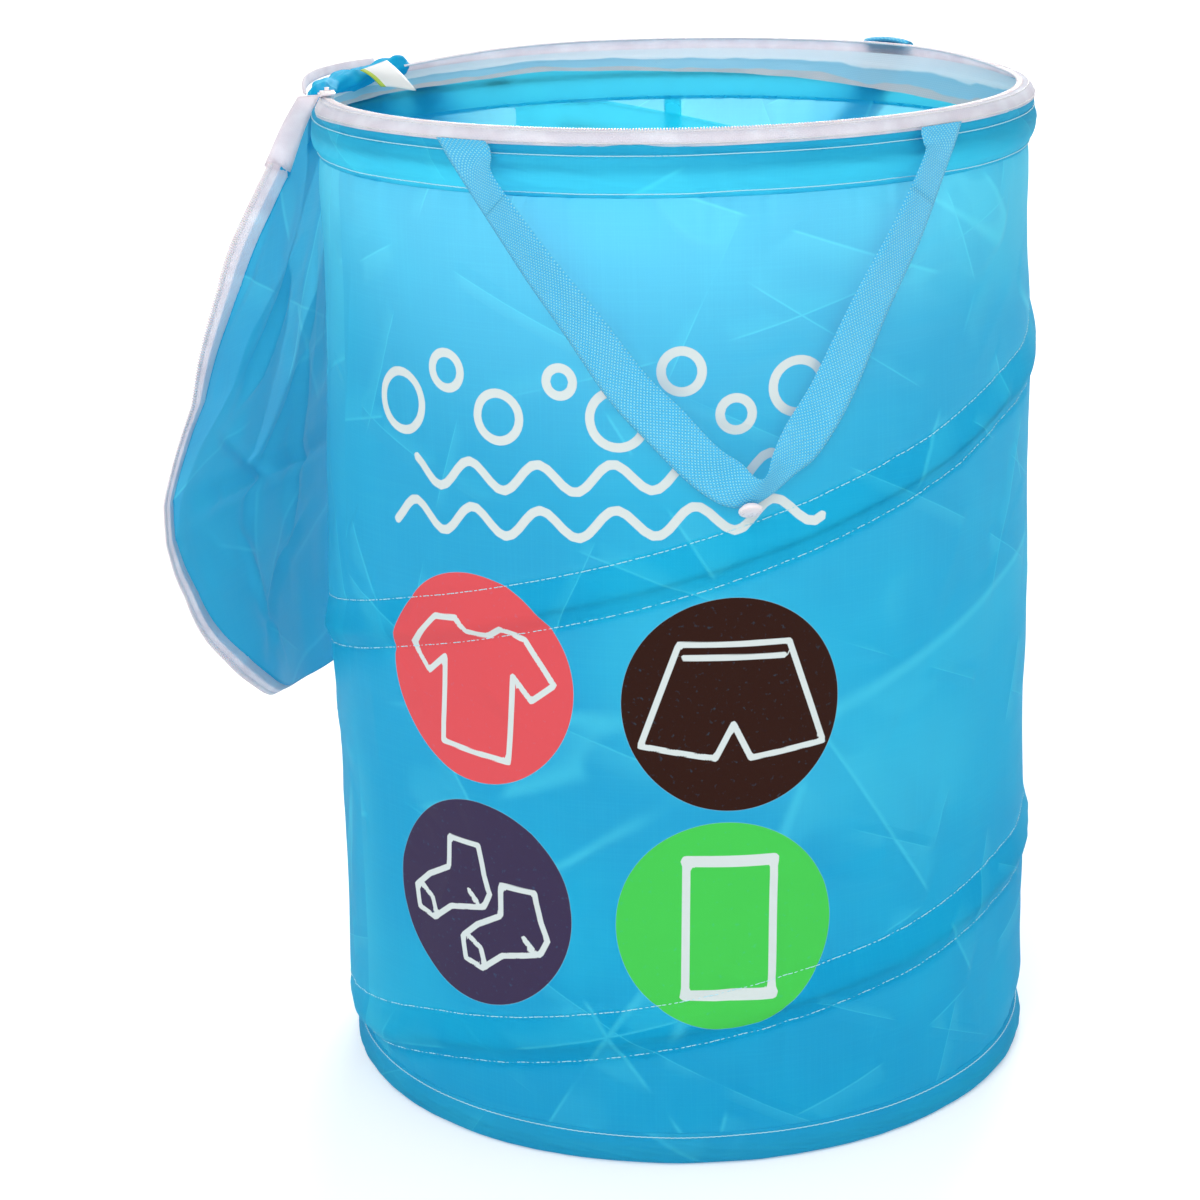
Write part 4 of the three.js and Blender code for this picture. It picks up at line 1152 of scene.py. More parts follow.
zip_azimuths = np.arange(ZIP_START - 1, ZIP_END + 1.4, 0.8)
rim_tape = rim_band("rim_zip_tape_woven", TAPE_POINTS, zip_azimuths, tape_white)
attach(rim_tape, "rim")
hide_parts("rim_zip_tape")


def tape_top(azimuths, radius, level):
    radii, heights = tape_section(np.atleast_1d(azimuths), np.array([(radius, level)]))
    return polar(np.atleast_1d(azimuths), radii[:, 0], heights[:, 0])


def rim_tape_row(radius, level):
    def path_at(shares):
        return tape_top(ZIP_START + (ZIP_END - ZIP_START) * shares, radius, level)
    return path_at


rim_tape_length = math.radians(ZIP_END - ZIP_START) * 188
for label, radius, level in (("low", 190.75, 530.0), ("high", 187.0, 535.0)):
    thread_row("rim_tape_" + label + "_stitches", rim_tape_row(radius, level), rim_tape_length,
               thread_white, "rim")
print("rim tape", len(rim_tape.data.polygons), "faces")

# %% Zip teeth
TOOTH_PITCH = 1.45


def tooth_shape():
    """One loop of the coil, lying along +X from the tape, as arrays of places and faces."""
    bpy.ops.mesh.primitive_cube_add(size=1)
    tooth = bpy.context.object
    for vertex in tooth.data.vertices:
        vertex.co = Vector((vertex.co.x * 3.4, vertex.co.y * 0.95, vertex.co.z * 1.3))
    only(tooth)
    bevel = tooth.modifiers.new("round", "BEVEL")
    bevel.width, bevel.segments = 0.36, 1
    bpy.ops.object.modifier_apply(modifier="round")
    places = np.array([v.co for v in tooth.data.vertices])
    faces = [tuple(face.vertices) for face in tooth.data.polygons]
    bpy.data.objects.remove(tooth)
    return places, faces


def teeth_mesh(name, centres, inward, up, finish):
    """Copies of the tooth at the centres, as one mesh. inward and up give each copy's directions."""
    places, faces = tooth_shape()
    side = unit(np.cross(up, inward))
    axes = np.stack([inward, side, up], 1)
    every = centres[:, None] + np.einsum("vk,nkj->nvj", places, axes)
    all_faces = [tuple(i + n * len(places) for i in face) for n in range(len(centres)) for face in faces]
    mesh = bpy.data.meshes.new(name)
    mesh.from_pydata((every.reshape(-1, 3) * MM).tolist(), [], all_faces)
    mesh.polygons.foreach_set("use_smooth", np.ones(len(all_faces), bool))
    mesh.materials.append(finish)
    piece = bpy.data.objects.new(name, mesh)
    bpy.context.scene.collection.objects.link(piece)
    return piece


tooth_turns = np.arange(ZIP_START + 0.3, ZIP_END - 0.2, math.degrees(TOOTH_PITCH / COIL_RADIUS))
tooth_centres = tape_top(tooth_turns, COIL_RADIUS + 0.5, COIL_HEIGHT + 0.7)
inwards = -polar(tooth_turns, 1.0, 0.0)
upwards = np.broadcast_to((0.0, 0.0, 1.0), inwards.shape)
rim_teeth = teeth_mesh("rim_zip_teeth", tooth_centres, inwards, upwards, plastic_white)
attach(rim_teeth, "rim")
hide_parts("rim_zip_coil")
print("teeth", len(tooth_turns))

# %% [markdown]
# ## Binding inside the rim
# A strip of thin cloth binds the raw edges inside. Its upper fold is double and white, below that the
# single cloth lets the blue of the wall show through, and a woven beige edge ends it. The free edge
# waves. It is one sheet, and its finish changes with the distance from the fold.

# %% Binding
BINDING_LEVELS = np.linspace(0, 1, 14)
binding_azimuths = np.arange(0, 360, 0.8)
FOOT_AZIMUTHS = (0, 31, 39, 52, 63, 73, 86, 99, 112, 126, 160, 250, 300, 360)
FOOT_HEIGHTS = (514, 508.8, 509.8, 512.8, 516, 517.8, 520.2, 522.4, 523.6, 521.5, 521, 522, 519, 514)
BINDING_WIDTH, BINDING_TOP, BINDING_RADIUS = 15.0, 531.2, 185.4


def binding_finish():
    material, tree, surface, output = finish_of("binding_cloth")
    place = flat_place(tree)
    parts = put(tree, "ShaderNodeSeparateXYZ", {0: place})
    wander = put(tree, "ShaderNodeTexNoise", {"Vector": place, "Scale": 28.0, "Detail": 2.0},
                 noise_dimensions="2D").outputs[0]
    down = calc(tree, "MULTIPLY_ADD", parts.outputs["Y"], -1 / (BINDING_WIDTH * MM),
                calc(tree, "MULTIPLY_ADD", wander, 0.36, -0.18))
    threads = grouped(tree, weave, Place=place, Thread=0.0008)
    colour = tint(tree, fade(tree, down, 0.36, 0.44), srgb(252, 251, 252), srgb(166, 216, 234))
    colour = tint(tree, fade(tree, down, 0.76, 0.82), colour, srgb(222, 208, 206))
    shine = calc(tree, "MULTIPLY", threads.outputs["Height"], 0.15)
    colour = tint(tree, shine, colour, srgb(240, 240, 244))
    normal = put(tree, "ShaderNodeBump", {"Height": threads.outputs["Height"], "Strength": 0.3,
                                          "Distance": 0.0003}).outputs[0]
    tree.links.new(colour, surface.inputs["Base Color"])
    tree.links.new(normal, surface.inputs["Normal"])
    surface.inputs["Roughness"].default_value = 0.55
    let_light_through(tree, surface, output, colour, normal, 0.2)
    return material


def binding_places(azimuths, shares):
    foot = np.interp(np.mod(azimuths, 360), FOOT_AZIMUTHS, FOOT_HEIGHTS) + sway(azimuths, 71, 0.8)
    top = BINDING_TOP + REAR_RISE * 0.5 * rear_share(azimuths)
    heights = top + (foot - top) * shares
    wave = sway(azimuths, 73, 0.6) * shares ** 2 + 0.35 * soft_noise(
        np.mod(azimuths, 360) / 360, shares, 110, 4, 79) * shares
    fold = 0.5 * np.exp(-((shares - 0.38) / 0.05) ** 2)
    return polar(azimuths, BINDING_RADIUS - 0.8 * shares + np.minimum(wave, 0.4) - fold, heights)


turn_grid, share_grid = np.meshgrid(binding_azimuths, BINDING_LEVELS)
binding_flat = np.stack([np.radians(turn_grid) * 186, -BINDING_WIDTH * share_grid], -1)
binding = sheet_mesh("inner_binding_cloth", binding_places(turn_grid, share_grid), binding_flat,
                     binding_finish(), wrap_columns=True)
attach(binding, "rim")
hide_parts("inner_binding")
print("binding", len(binding.data.polygons), "faces")

# %% [markdown]
# ## Gathered roll of the hinge
# Along the hinge the cloth of the lid is bunched and rolled on the rim, in a few fat lumps. The roll
# is a tube whose radius swells and shrinks, with ribs that wind round it as twisted cloth does.

# %% Hinge roll
HINGE_AZIMUTH = 160.0
HINGE_FRONT, HINGE_REAR = 185.0, 148.0
HINGE_RADIUS = HEM_RADIUS - 4.1
ROLL_HEIGHT = HEM_TOP + 6.3
ROLL_END = 143.6
ROLL_SWELLS = ((0.0, 2.3), (0.05, 4.6), (0.15, 6.2), (0.27, 5.8), (0.36, 4.4), (0.45, 5.9), (0.58, 6.4),
               (0.68, 5.4), (0.76, 4.4), (0.84, 6.0), (0.91, 6.6), (0.97, 5.2), (1.0, 2.8))


def build_roll():
    share = np.linspace(0, 1, 110)
    angle = np.linspace(0, 2 * math.pi, 40, endpoint=False)
    swell = np.interp(share, *np.array(ROLL_SWELLS).T)
    azimuth = HINGE_FRONT + (ROLL_END - HINGE_FRONT) * share
    wind = angle[None, :] + 5.5 * share[:, None]
    ribs = 0.34 * np.abs(np.sin(1.5 * wind + 1.2 * np.sin(7 * share)[:, None])) ** 0.7
    ribs = ribs + 0.16 * np.sin(5 * wind - 9 * share[:, None])
    grain = 0.3 * soft_noise(angle[None, :] / (2 * math.pi), share[:, None], 9, 16, 83)
    radius = swell[:, None] * (0.84 + 0.55 * ribs) + grain
    radius = np.minimum(radius, 7.2)
    radii = HINGE_RADIUS + radius * np.cos(angle)[None, :]
    heights = ROLL_HEIGHT - 2.6 + 1.8 * ramp(share, 0.7, 0.95)[:, None] + radius * np.sin(angle)[None, :]
    places = polar(azimuth[:, None], radii, heights)
    flat = np.stack(np.broadcast_arrays(angle[None, :] * 5.5, (share * 120)[:, None]), -1)
    return sheet_mesh("hinge_roll_gathered", places, flat, roll_cloth, wrap_columns=True, caps=True)


roll_cloth = taffeta("roll_cloth", through=0.06, crease=1.0, crease_size=14.0, patches=0.15,
                     roughness=0.72)
hinge_roll = build_roll()
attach(hinge_roll, "rim")
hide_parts("lid_hinge_roll")
print("roll", len(hinge_roll.data.polygons), "faces")

# %% [markdown]
# ## Lid
# The lid is a round cloth with half of the zip sewn round it. Open, it hangs outside from its hinge,
# lies against the hem there and leans away below. Its own weight draws long folds that fan out from
# the hinge. The cloth is written in the lid's own frame: across and down from the hinge, and out.

# %% Lid: frame and shape
LID_LEAN = math.radians(8)
LID_RADIUS = 177.8
LID_TAPE_INNER, LID_TAPE_MIDDLE, LID_TAPE_OUTER = 165.2, 170, 176.4
LID_PLANE = ROLL_HEIGHT - COIL_HEIGHT
hinge_out = polar(HINGE_AZIMUTH, 1.0, 0.0)
hinge_along = np.array([hinge_out[1], -hinge_out[0], 0])
lid_down = np.array([0, 0, -math.cos(LID_LEAN)]) + hinge_out * math.sin(LID_LEAN)
lid_out = hinge_out * math.cos(LID_LEAN) + np.array([0, 0, math.sin(LID_LEAN)])
hinge_point = polar(HINGE_AZIMUTH, HINGE_RADIUS, ROLL_HEIGHT)


LID_FOLDS = ((-36, 78, -113, 149, 11, 3.6), (-53, 98, -110, 167, 9, -4.0), (27, 214, -147, 219, 10, -4.2),
             (-123, 177, -50, 225, 7, 3.0), (-70, 20, -150, 120, 9, -3.2), (-20, 60, -30, 300, 12, -3.6),
             (30, 70, 90, 240, 12, 4.0), (0, 250, -100, 318, 9, 3.2), (60, 60, 140, 170, 10, -3.0),
             (-90, 240, -60, 330, 8, -2.6), (-10, 130, -90, 250, 9, 2.6), (70, 250, 20, 340, 10, 3.0))
EDGE_DOWN = (0, 45, 93, 150, 182, 206, 228, 245, 260, 278, 289, 303, 320, 345)
EDGE_PULL = (2, 9, 12.5, 9.5, 1.5, -3.5, -3.5, 0.5, 5.5, 9.5, 12.5, 18, 20.5, 19.5)


def lid_folds(across, down):
    """Long folds that gravity and the pressed creases make, each a straight ridge or hollow."""
    lift = np.zeros(np.broadcast(across, down).shape)
    for ax, ay, bx, by, width, height in LID_FOLDS:
        dx, dy = bx - ax, by - ay
        length = math.hypot(dx, dy)
        along = ((across - ax) * dx + (down - ay) * dy) / length
        away = np.abs((across - ax) * dy - (down - ay) * dx) / length
        tent = np.clip(1 - away / width, 0, 1)
        ends = ramp(along, -8, 0.25 * length) * (1 - ramp(along, 0.75 * length, length + 8))
        lift = lift + height * (0.6 * tent + 0.4 * tent * tent) * ends
    return lift


def lid_stand_off(across, down):
    """How far the lid's cloth stands off the plane through the hinge."""
    low = ramp(down, 23.4, 46.8)
    keep_out = (HEM_RADIUS + 0.8) * (1 - low) + (WALL_RADIUS + 5.5) * low + 0.9
    hem_line = np.sqrt(np.maximum(keep_out ** 2 - across ** 2, 0)) - HINGE_RADIUS
    pull = np.interp(down, EDGE_DOWN, EDGE_PULL) * ramp(-across, 10, 110)
    pull = pull + 11 * ramp(down, 270, 358) + 7 * ramp(across, -20, 80) * ramp(down, 240, 330)
    rest = np.maximum(LID_PLANE - pull, hem_line - math.tan(LID_LEAN) * down)
    fan = np.arctan2(across, down + 46)
    body = ramp(down, 20, 110) * (1 - 0.75 * ramp(np.hypot(across, down - HINGE_RADIUS), 130, 178))
    near_hinge = 1 - ramp(down, 40, 170)
    gathers = 0.5 + 0.5 * np.sin(fan * 24 + 1.3 * np.sin(fan * 5 + 0.6))
    sag = 4.0 * ramp(down, 60, 260) * (0.5 - 0.5 * np.cos(fan * 5 + 1.0))
    dents = 0.8 * soft_noise(across / 400 + 0.5, down / 400, 26, 22, 89)
    return rest + body * (3.6 + 2.6 * gathers * near_hinge + lid_folds(across, down) + sag + dents)


def on_lid(across, down, lift=0.0):
    off = lid_stand_off(across, down) + lift
    return (hinge_point + hinge_along * across[..., None] + lid_down * down[..., None]
            + lid_out * off[..., None])


FLARE_TURNS = (0, 130, 160, 180, 215, 240, 258, 280, 298, 315, 331, 333, 334.5, 360)
FLARE_DEGREES = (0, 0, 50, 62, 50, 8, -6, 6, 32, 70, 66, 30, 0, 0)


def lid_polar(turns, radii, lift=0.0):
    """Places on the lid at a turn from the hinge, counted to the rear, and a radius. The tape is bent
    outwards near the front end of the hinge and at the foot, where the stiff zip bends it over."""
    turns, radii, lift = np.broadcast_arrays(turns, radii, lift)
    flare = np.radians(np.interp(np.mod(turns, 360), FLARE_TURNS, FLARE_DEGREES))
    beyond = np.maximum(radii - LID_TAPE_INNER, 0)
    reach = np.minimum(radii, LID_TAPE_INNER) + beyond * np.cos(flare) - lift * np.sin(flare)
    angle = np.radians(turns)
    across, down = reach * np.sin(angle), HINGE_RADIUS - reach * np.cos(angle)
    down = down - 1.5 * ramp(down, 200, 358)
    return on_lid(across, down, beyond * np.sin(flare) + lift * np.cos(flare))


# %% [markdown]
# ## Panels of the lid
# The hanging cloth is pulled into long flat panels. Some send the light back and look deep cyan, the
# others lie in each other's shade, which is painted into their colour as a duller cyan that also lets
# less light through. The border between two panels is sharp and
# straight. Each corner of the mesh holds its distance from the nearest border, as for the print.

# %% Lid: bright panels
BRIGHT_PANELS = (
    ((-53, 170), (-53, 109), (-112, 65), (-151, -12), (-165, -64), (-195, -64), (-195, 170)),
    ((-53, 109), (-62, 51), (-70, 27), (-77, -27), (-36, 43), (0, 110), (-20, 170)))


def panel_distance(xs, ys):
    """Millimetres from the border of the nearest bright panel, above 0 inside it, for arrays of places."""
    result = np.full(xs.shape, -400.0)
    for panel in BRIGHT_PANELS:
        inside, nearest = np.zeros(xs.shape, bool), np.full(xs.shape, 400.0)
        for (ax, ay), (bx, by) in zip(panel, panel[1:] + panel[:1]):
            dx, dy = bx - ax, by - ay
            share = np.clip(((xs - ax) * dx + (ys - ay) * dy) / (dx * dx + dy * dy), 0, 1)
            nearest = np.minimum(nearest, np.hypot(xs - ax - share * dx, ys - ay - share * dy))
            if dy != 0:
                inside ^= ((ay > ys) != (by > ys)) & (xs < ax + (ys - ay) * dx / dy)
        result = np.maximum(result, np.where(inside, nearest, -nearest))
    return result


def painted_panel_shade(tree, place):
    # Painted shade: outside the bright panels the cloth is tinted a duller cyan.
    distance = put(tree, "ShaderNodeAttribute", attribute_name="panel_distance").outputs["Fac"]
    return srgb(70, 190, 222), fade(tree, distance, -0.6, 0.6, 0.6, 0.0)


lid_cloth = taffeta("lid_cloth", through=0.42, crease=1.0, crease_size=6.0, patches=0.1, pale_light=0.25,
                    over=painted_panel_shade)
print("panels", len(BRIGHT_PANELS))

# %% Lid: cloth
HINGE_FRONT_TURN = HINGE_AZIMUTH - HINGE_FRONT
HINGE_REAR_TURN = HINGE_AZIMUTH - HINGE_REAR
LID_TAPE_START, LID_TAPE_END = HINGE_REAR_TURN + 4, 360 + HINGE_FRONT_TURN - 3


def build_lid():
    turns = np.arange(0, 360, 1.5)
    middle = (LID_TAPE_INNER + LID_TAPE_OUTER) / 2
    signed = np.mod(turns + 180, 360) - 180
    in_hinge = ramp(signed, HINGE_FRONT_TURN - 1, HINGE_FRONT_TURN + 4) * (
        1 - ramp(signed, HINGE_REAR_TURN - 1, HINGE_REAR_TURN + 6))
    reach = middle + (HINGE_RADIUS - 4.5 - middle) * in_hinge
    shares = np.concatenate([[0.04], np.linspace(0.08, 1, 84)])
    places = lid_polar(turns[None, :], reach[None, :] * shares[:, None])
    angle = np.radians(turns)[None, :]
    flat = np.stack([reach * shares[:, None] * np.sin(angle), reach * shares[:, None] * np.cos(angle)], -1)
    pole = on_lid(np.array(0.0), np.array(HINGE_RADIUS))
    piece = sheet_mesh("lid_cloth", places, flat, lid_cloth, wrap_columns=True, pole=pole)
    attribute = piece.data.attributes.new("panel_distance", "FLOAT", "POINT")
    spots = np.concatenate([flat.reshape(-1, 2), [(0.0, 0.0)]])
    attribute.data.foreach_set("value", panel_distance(spots[:, 0], spots[:, 1]).astype(np.float32))
    return piece


def crumple_with_lid(piece):
    """Gives the piece a mesh of its own."""
    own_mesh(piece)


lid_sheet = build_lid()
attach(lid_sheet, "lid")
crumple_with_lid(lid_sheet)
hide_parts("lid_panel")
print("lid", len(lid_sheet.data.polygons), "faces")

# %% Lid: zip tape, teeth and stitches
LID_TAPE_POINTS = ((LID_TAPE_INNER, -0.1), (LID_TAPE_INNER - 0.2, 0.45), (168, 0.75), (172, 0.6),
                   (LID_TAPE_OUTER - 0.4, 0.5), (LID_TAPE_OUTER, 0.2), (LID_TAPE_OUTER - 0.3, -0.15),
                   (172, -0.5), (168, -0.55))


def lid_band(name, points, start, end, finish):
    loop = smooth_loop(points, TAPE_STEPS)
    turns = np.arange(start, end, 0.9)
    places = lid_polar(turns[:, None], loop[None, :, 0], loop[None, :, 1] + 0.25)
    flat = np.stack(np.broadcast_arrays(
        lengths_along(loop)[None, :], (np.radians(turns) * LID_TAPE_MIDDLE)[:, None]), -1)
    return sheet_mesh(name, places, flat, finish, wrap_columns=True, caps=True)


lid_tape = lid_band("lid_zip_tape_woven", LID_TAPE_POINTS, LID_TAPE_START, LID_TAPE_END, tape_white)
lid_tooth_turns = np.arange(LID_TAPE_START + 1, LID_TAPE_END - 1, math.degrees(TOOTH_PITCH / LID_RADIUS))
teeth_centres = lid_polar(lid_tooth_turns, LID_RADIUS - 1.6, 0.3)
teeth_next = lid_polar(lid_tooth_turns + 0.3, LID_RADIUS - 1.6, 0.3)
teeth_outer = lid_polar(lid_tooth_turns, LID_RADIUS + 0.4, 0.3)
teeth_outward = unit(teeth_outer - teeth_centres)
teeth_up = unit(np.cross(teeth_outward, teeth_next - teeth_centres))
lid_teeth = teeth_mesh("lid_zip_teeth", teeth_centres, teeth_outward, teeth_up, plastic_white)
pieces = [(lid_tape, "lid_zip_tape", "tape"), (lid_teeth, "lid_zip_coil", "zip_plastic")]
for piece, node, slot in pieces:
    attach(piece, "lid")
    crumple_with_lid(piece)
    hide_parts(node)


def lid_tape_row(radius):
    def path_at(shares):
        return lid_polar(LID_TAPE_START + (LID_TAPE_END - LID_TAPE_START) * shares, radius, 0.9)
    return path_at


def straight_out_of_lid(shares):
    return np.broadcast_to(lid_out, (len(shares), 3))


lid_tape_length = math.radians(LID_TAPE_END - LID_TAPE_START) * LID_TAPE_MIDDLE
for label, radius in (("inner", LID_TAPE_INNER + 1.2), ("outer", LID_TAPE_OUTER - 1.6)):
    row = thread_row("lid_tape_" + label + "_stitches", lid_tape_row(radius), lid_tape_length, thread_white,
                     "lid", lift_at=straight_out_of_lid)
    crumple_with_lid(row)
print("lid tape and", len(lid_tooth_turns), "teeth")

# %% [markdown]
# ## Ends of the lid's tape
# From the lid's near edge the tape rises to the slider, where its teeth enter the other row. A second
# length of it follows the hinge behind the roll and moves with the rim.

# %% Ends of the lid's tape
def ribbon(name, low_edge, high_edge, finish, thickness=1.0):
    """A thin closed strip between two edges in millimetres."""
    along = unit(np.gradient((low_edge + high_edge) / 2, axis=0))
    face = unit(np.cross(along, unit(high_edge - low_edge))) * thickness / 2
    shares = np.linspace(0, 1, 6)[None, :, None]
    middle = low_edge[:, None] * (1 - shares) + high_edge[:, None] * shares
    places = np.concatenate([middle + face[:, None], (middle - face[:, None])[:, ::-1]], 1)
    width = np.linalg.norm(high_edge - low_edge, axis=1).mean()
    spots = np.concatenate([shares[0, :, 0], 2 - shares[0, ::-1, 0]]) * width
    flat = np.stack(np.broadcast_arrays(spots[None, :], lengths_along(low_edge)[:, None]), -1).astype(float)
    return sheet_mesh(name, places, flat, finish, wrap_columns=True, caps=True)


HEAD_TOP = ((191.6, 186.2, 536.6), (190.4, 197.2, 535.8))
head_edges = []
for radius, top in zip((LID_TAPE_INNER - 0.2, LID_RADIUS + 1.2), HEAD_TOP):
    foot = [lid_polar(np.array(LID_TAPE_END - turn), np.array(radius), 0.3) for turn in (2.2, 0.6)]
    top = polar(*top)
    middle = (foot[-1] + top) / 2 + np.array([-0.4, -1.0, 1.0])
    head_edges.append(smooth_loop([*foot, middle, top], 8, closed=False))
tape_head = ribbon("lid_tape_head", *head_edges, tape_white)
head_foot = lid_polar(np.array(LID_TAPE_END - 4.0), np.array(LID_TAPE_INNER))
tuple(polar(*HEAD_TOP[0]) * MM)
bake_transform(tape_head)

HINGE_TAPE = ((187.5, 192.4, 535.6, 0.6), (184, 193.2, 536.0, 2.8), (179, 193.6, 536.6, 4.6),
              (172, 193.6, 537.0, 5.0), (164, 193.4, 537.0, 4.6), (157, 193.0, 537.0, 4.2),
              (150, 192.4, 537.0, 3.4))
hinge_line = smooth_loop(HINGE_TAPE, 6, closed=False)
hinge_low = polar(hinge_line[:, 0], hinge_line[:, 1], hinge_line[:, 2])
hinge_high = polar(hinge_line[:, 0], hinge_line[:, 1] + 1.2, hinge_line[:, 2] + hinge_line[:, 3])
hinge_tape = ribbon("hinge_tape", hinge_low, hinge_high, tape_white)
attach(hinge_tape, "rim")
print("tape ends", len(tape_head.data.polygons) + len(hinge_tape.data.polygons), "faces")

# %% [markdown]
# ## Gather between roll and lid
# From the roll a short strip of gathered cloth reaches down to the lid.

# %% Gather of the hinge
GATHER_DOWN = 36.0


def build_gather():
    azimuths = np.linspace(HINGE_REAR, HINGE_FRONT - 8, 96)
    shares = np.linspace(0, 1, 22)
    across = HINGE_RADIUS * np.sin(np.radians(HINGE_AZIMUTH - azimuths)) * 0.985
    top = polar(azimuths, HINGE_RADIUS + 2.6, ROLL_HEIGHT - 3.8)
    foot = on_lid(across, np.full_like(across, GATHER_DOWN), 0.9)
    grid_share = shares[:, None, None]
    places = top[None] * (1 - grid_share) + foot[None] * grid_share
    belly = np.sin(math.pi * shares)[:, None]
    pleats = np.sin(np.radians(azimuths)[None, :] * 46 + 2 * np.sin(np.radians(azimuths) * 21)[None, :])
    front_fade = ramp(azimuths[-1] - azimuths, 0, 14)[None]
    stand = belly * (2.6 + 1.1 * pleats * (1 - 0.4 * shares[:, None])) * front_fade
    places = places + polar(azimuths, 1.0, 0.0)[None] * stand[..., None]
    flat = np.stack(np.broadcast_arrays(across[None, :], -GATHER_DOWN * shares[:, None]), -1)
    return sheet_mesh("hinge_gather_cloth", places, flat.astype(float), hem_cloth)


hinge_gather = build_gather()
gather_axis = polar(HINGE_AZIMUTH, HINGE_RADIUS, 0.0)
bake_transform(hinge_gather)
print("gather", len(hinge_gather.data.polygons), "faces")

# %% [markdown]
# ## Care label
# A blank white label is caught in the rear end of the roll and hangs into the mouth. One edge has a
# yellow green stripe.

# %% Care label
def label_finish():
    material, tree, surface, output = finish_of("label_satin")
    place = flat_place(tree)
    threads = grouped(tree, weave, Place=place, Thread=0.0004)
    across = put(tree, "ShaderNodeSeparateXYZ", {0: place}).outputs["X"]
    stripe = fade(tree, across, 0.0032, 0.0036, 1.0, 0.0)
    colour = tint(tree, stripe, srgb(244, 243, 240), srgb(198, 218, 60))
    shade = calc(tree, "MULTIPLY", threads.outputs["Height"], 0.12)
    colour = tint(tree, shade, colour, srgb(226, 224, 224))
    normal = put(tree, "ShaderNodeBump", {"Height": threads.outputs["Height"], "Strength": 0.3,
                                          "Distance": 0.0002}).outputs[0]
    tree.links.new(colour, surface.inputs["Base Color"])
    tree.links.new(normal, surface.inputs["Normal"])
    surface.inputs["Roughness"].default_value = 0.5
    let_light_through(tree, surface, output, colour, normal, 0.25)
    return material


LABEL_CORNERS = {"front_top": (162.0, 179.5, 538.5), "rear_top": (152.6, 178.6, 540.6),
                 "front_foot": (160.6, 169.5, 529.2), "rear_foot": (155.1, 156.0, 526.0)}


def build_label():
    corner = {name: polar(*spot) for name, spot in LABEL_CORNERS.items()}
    u, v = np.meshgrid(np.linspace(0, 1, 14), np.linspace(0, 1, 14))
    u, v = u[..., None], v[..., None]
    places = ((corner["front_top"] * (1 - u) + corner["rear_top"] * u) * (1 - v)
              + (corner["front_foot"] * (1 - u) + corner["rear_foot"] * u) * v)
    places[..., 2] += (1.2 * np.sin(math.pi * v) + 0.4 * np.sin(5 * u) * v)[..., 0]
    flat = np.concatenate([u * 24, v * 24], -1)
    return sheet_mesh("care_label_blank", places, flat, label_finish())


care_label = build_label()
only(care_label)
thickness = care_label.modifiers.new("thickness", "SOLIDIFY")
thickness.thickness, thickness.offset = 0.35 * MM, 0
bpy.ops.object.modifier_apply(modifier="thickness")
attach(care_label, "rim")
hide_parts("care_label")
print("label", [round(x * 1000) for x in care_label.dimensions], "mm")

# %% [markdown]
# ## Handles
# Each handle is one length of webbing, sewn to the hem at both ends and turned round at the bottom
# of its V. Its outer edge lies on the wall and its inner edge stands off, so it throws a shadow.
# The two edges are therefore written as two lines, and the webbing is the strip between them.

# %% Handles: the two edges
WEBBING_WIDTH = 25.0
WEBBING_HALF_THICKNESS = 0.6
JUNCTION_HEIGHT = 500.0
OUTER_EDGE = (
    (233.9, 530.0, 192.6, 4), (234.9, 526.0, 192.7, 12), (235.9, 521.0, 192.6, 24),
    (239.7, 503.0, 191.4, 27), (244.0, 483.0, 190.8, 28), (248.0, 464.0, 190.6, 26),
    (253.5, 439.0, 190.6, 22), (260.0, 407.0, 190.6, 16), (265.4, 387.0, 190.8, 14),
    (270.6, 368.5, 191.2, 20), (274.6, 357.6, 191.8, 30), (277.4, 353.6, 192.4, 42),
    (280.2, 353.6, 192.8, 48), (283.6, 359.4, 192.4, 40), (287.0, 367.6, 191.6, 24),
    (290.8, 376.5, 191.0, 8), (296.1, 401.0, 190.6, 4), (302.6, 443.0, 190.6, 10),
    (308.6, 475.0, 190.6, 13), (313.4, 507.0, 191.6, 16), (315.4, 521.0, 192.6, 22),
    (316.1, 526.0, 192.7, 12), (316.7, 530.0, 192.6, 4))
INNER_BOTTOM = {10: (278.6, 377.0, 198.5), 11: (280.2, 371.0, 202.0), 12: (281.3, 369.6, 203.6),
                13: (282.2, 372.4, 202.4), 14: (283.2, 380.0, 198.0)}


def webbing_edges():
    """Both edges of the front webbing as azimuth, height and radius, from its left end to its right."""
    outer = np.array([(a, z, r) for a, z, r, _ in OUTER_EDGE])
    tilt = np.radians([t for *_, t in OUTER_EDGE])
    arcs = np.radians(outer[:, 0]) * 190
    along = unit(np.stack([np.gradient(arcs), np.gradient(outer[:, 1])], -1))
    inward = np.stack([-along[:, 1], along[:, 0]], -1)
    step = WEBBING_WIDTH * np.cos(tilt)[:, None] * inward
    inner = np.stack([outer[:, 0] + np.degrees(step[:, 0] / 195), outer[:, 1] + step[:, 1],
                      outer[:, 2] + WEBBING_WIDTH * np.sin(tilt)], -1)
    for place, spot in INNER_BOTTOM.items():
        inner[place] = spot
    for end in (0, -1):
        side = 1 if end == 0 else -1
        inner[end] = (outer[end, 0] + side * 8.6, 530.0, 193.2)
        inner[end + side] = (outer[end + side, 0] + side * 8.7, 527.4, 195.6)
        inner[end + 2 * side] = (outer[end + 2 * side, 0] + side * 8.5, 523.4, 199.2)
        inner[end + 3 * side, 1] = min(inner[end + 3 * side, 1], 516.5)
    return smooth_loop(outer, 14, closed=False), smooth_loop(inner, 14, closed=False)


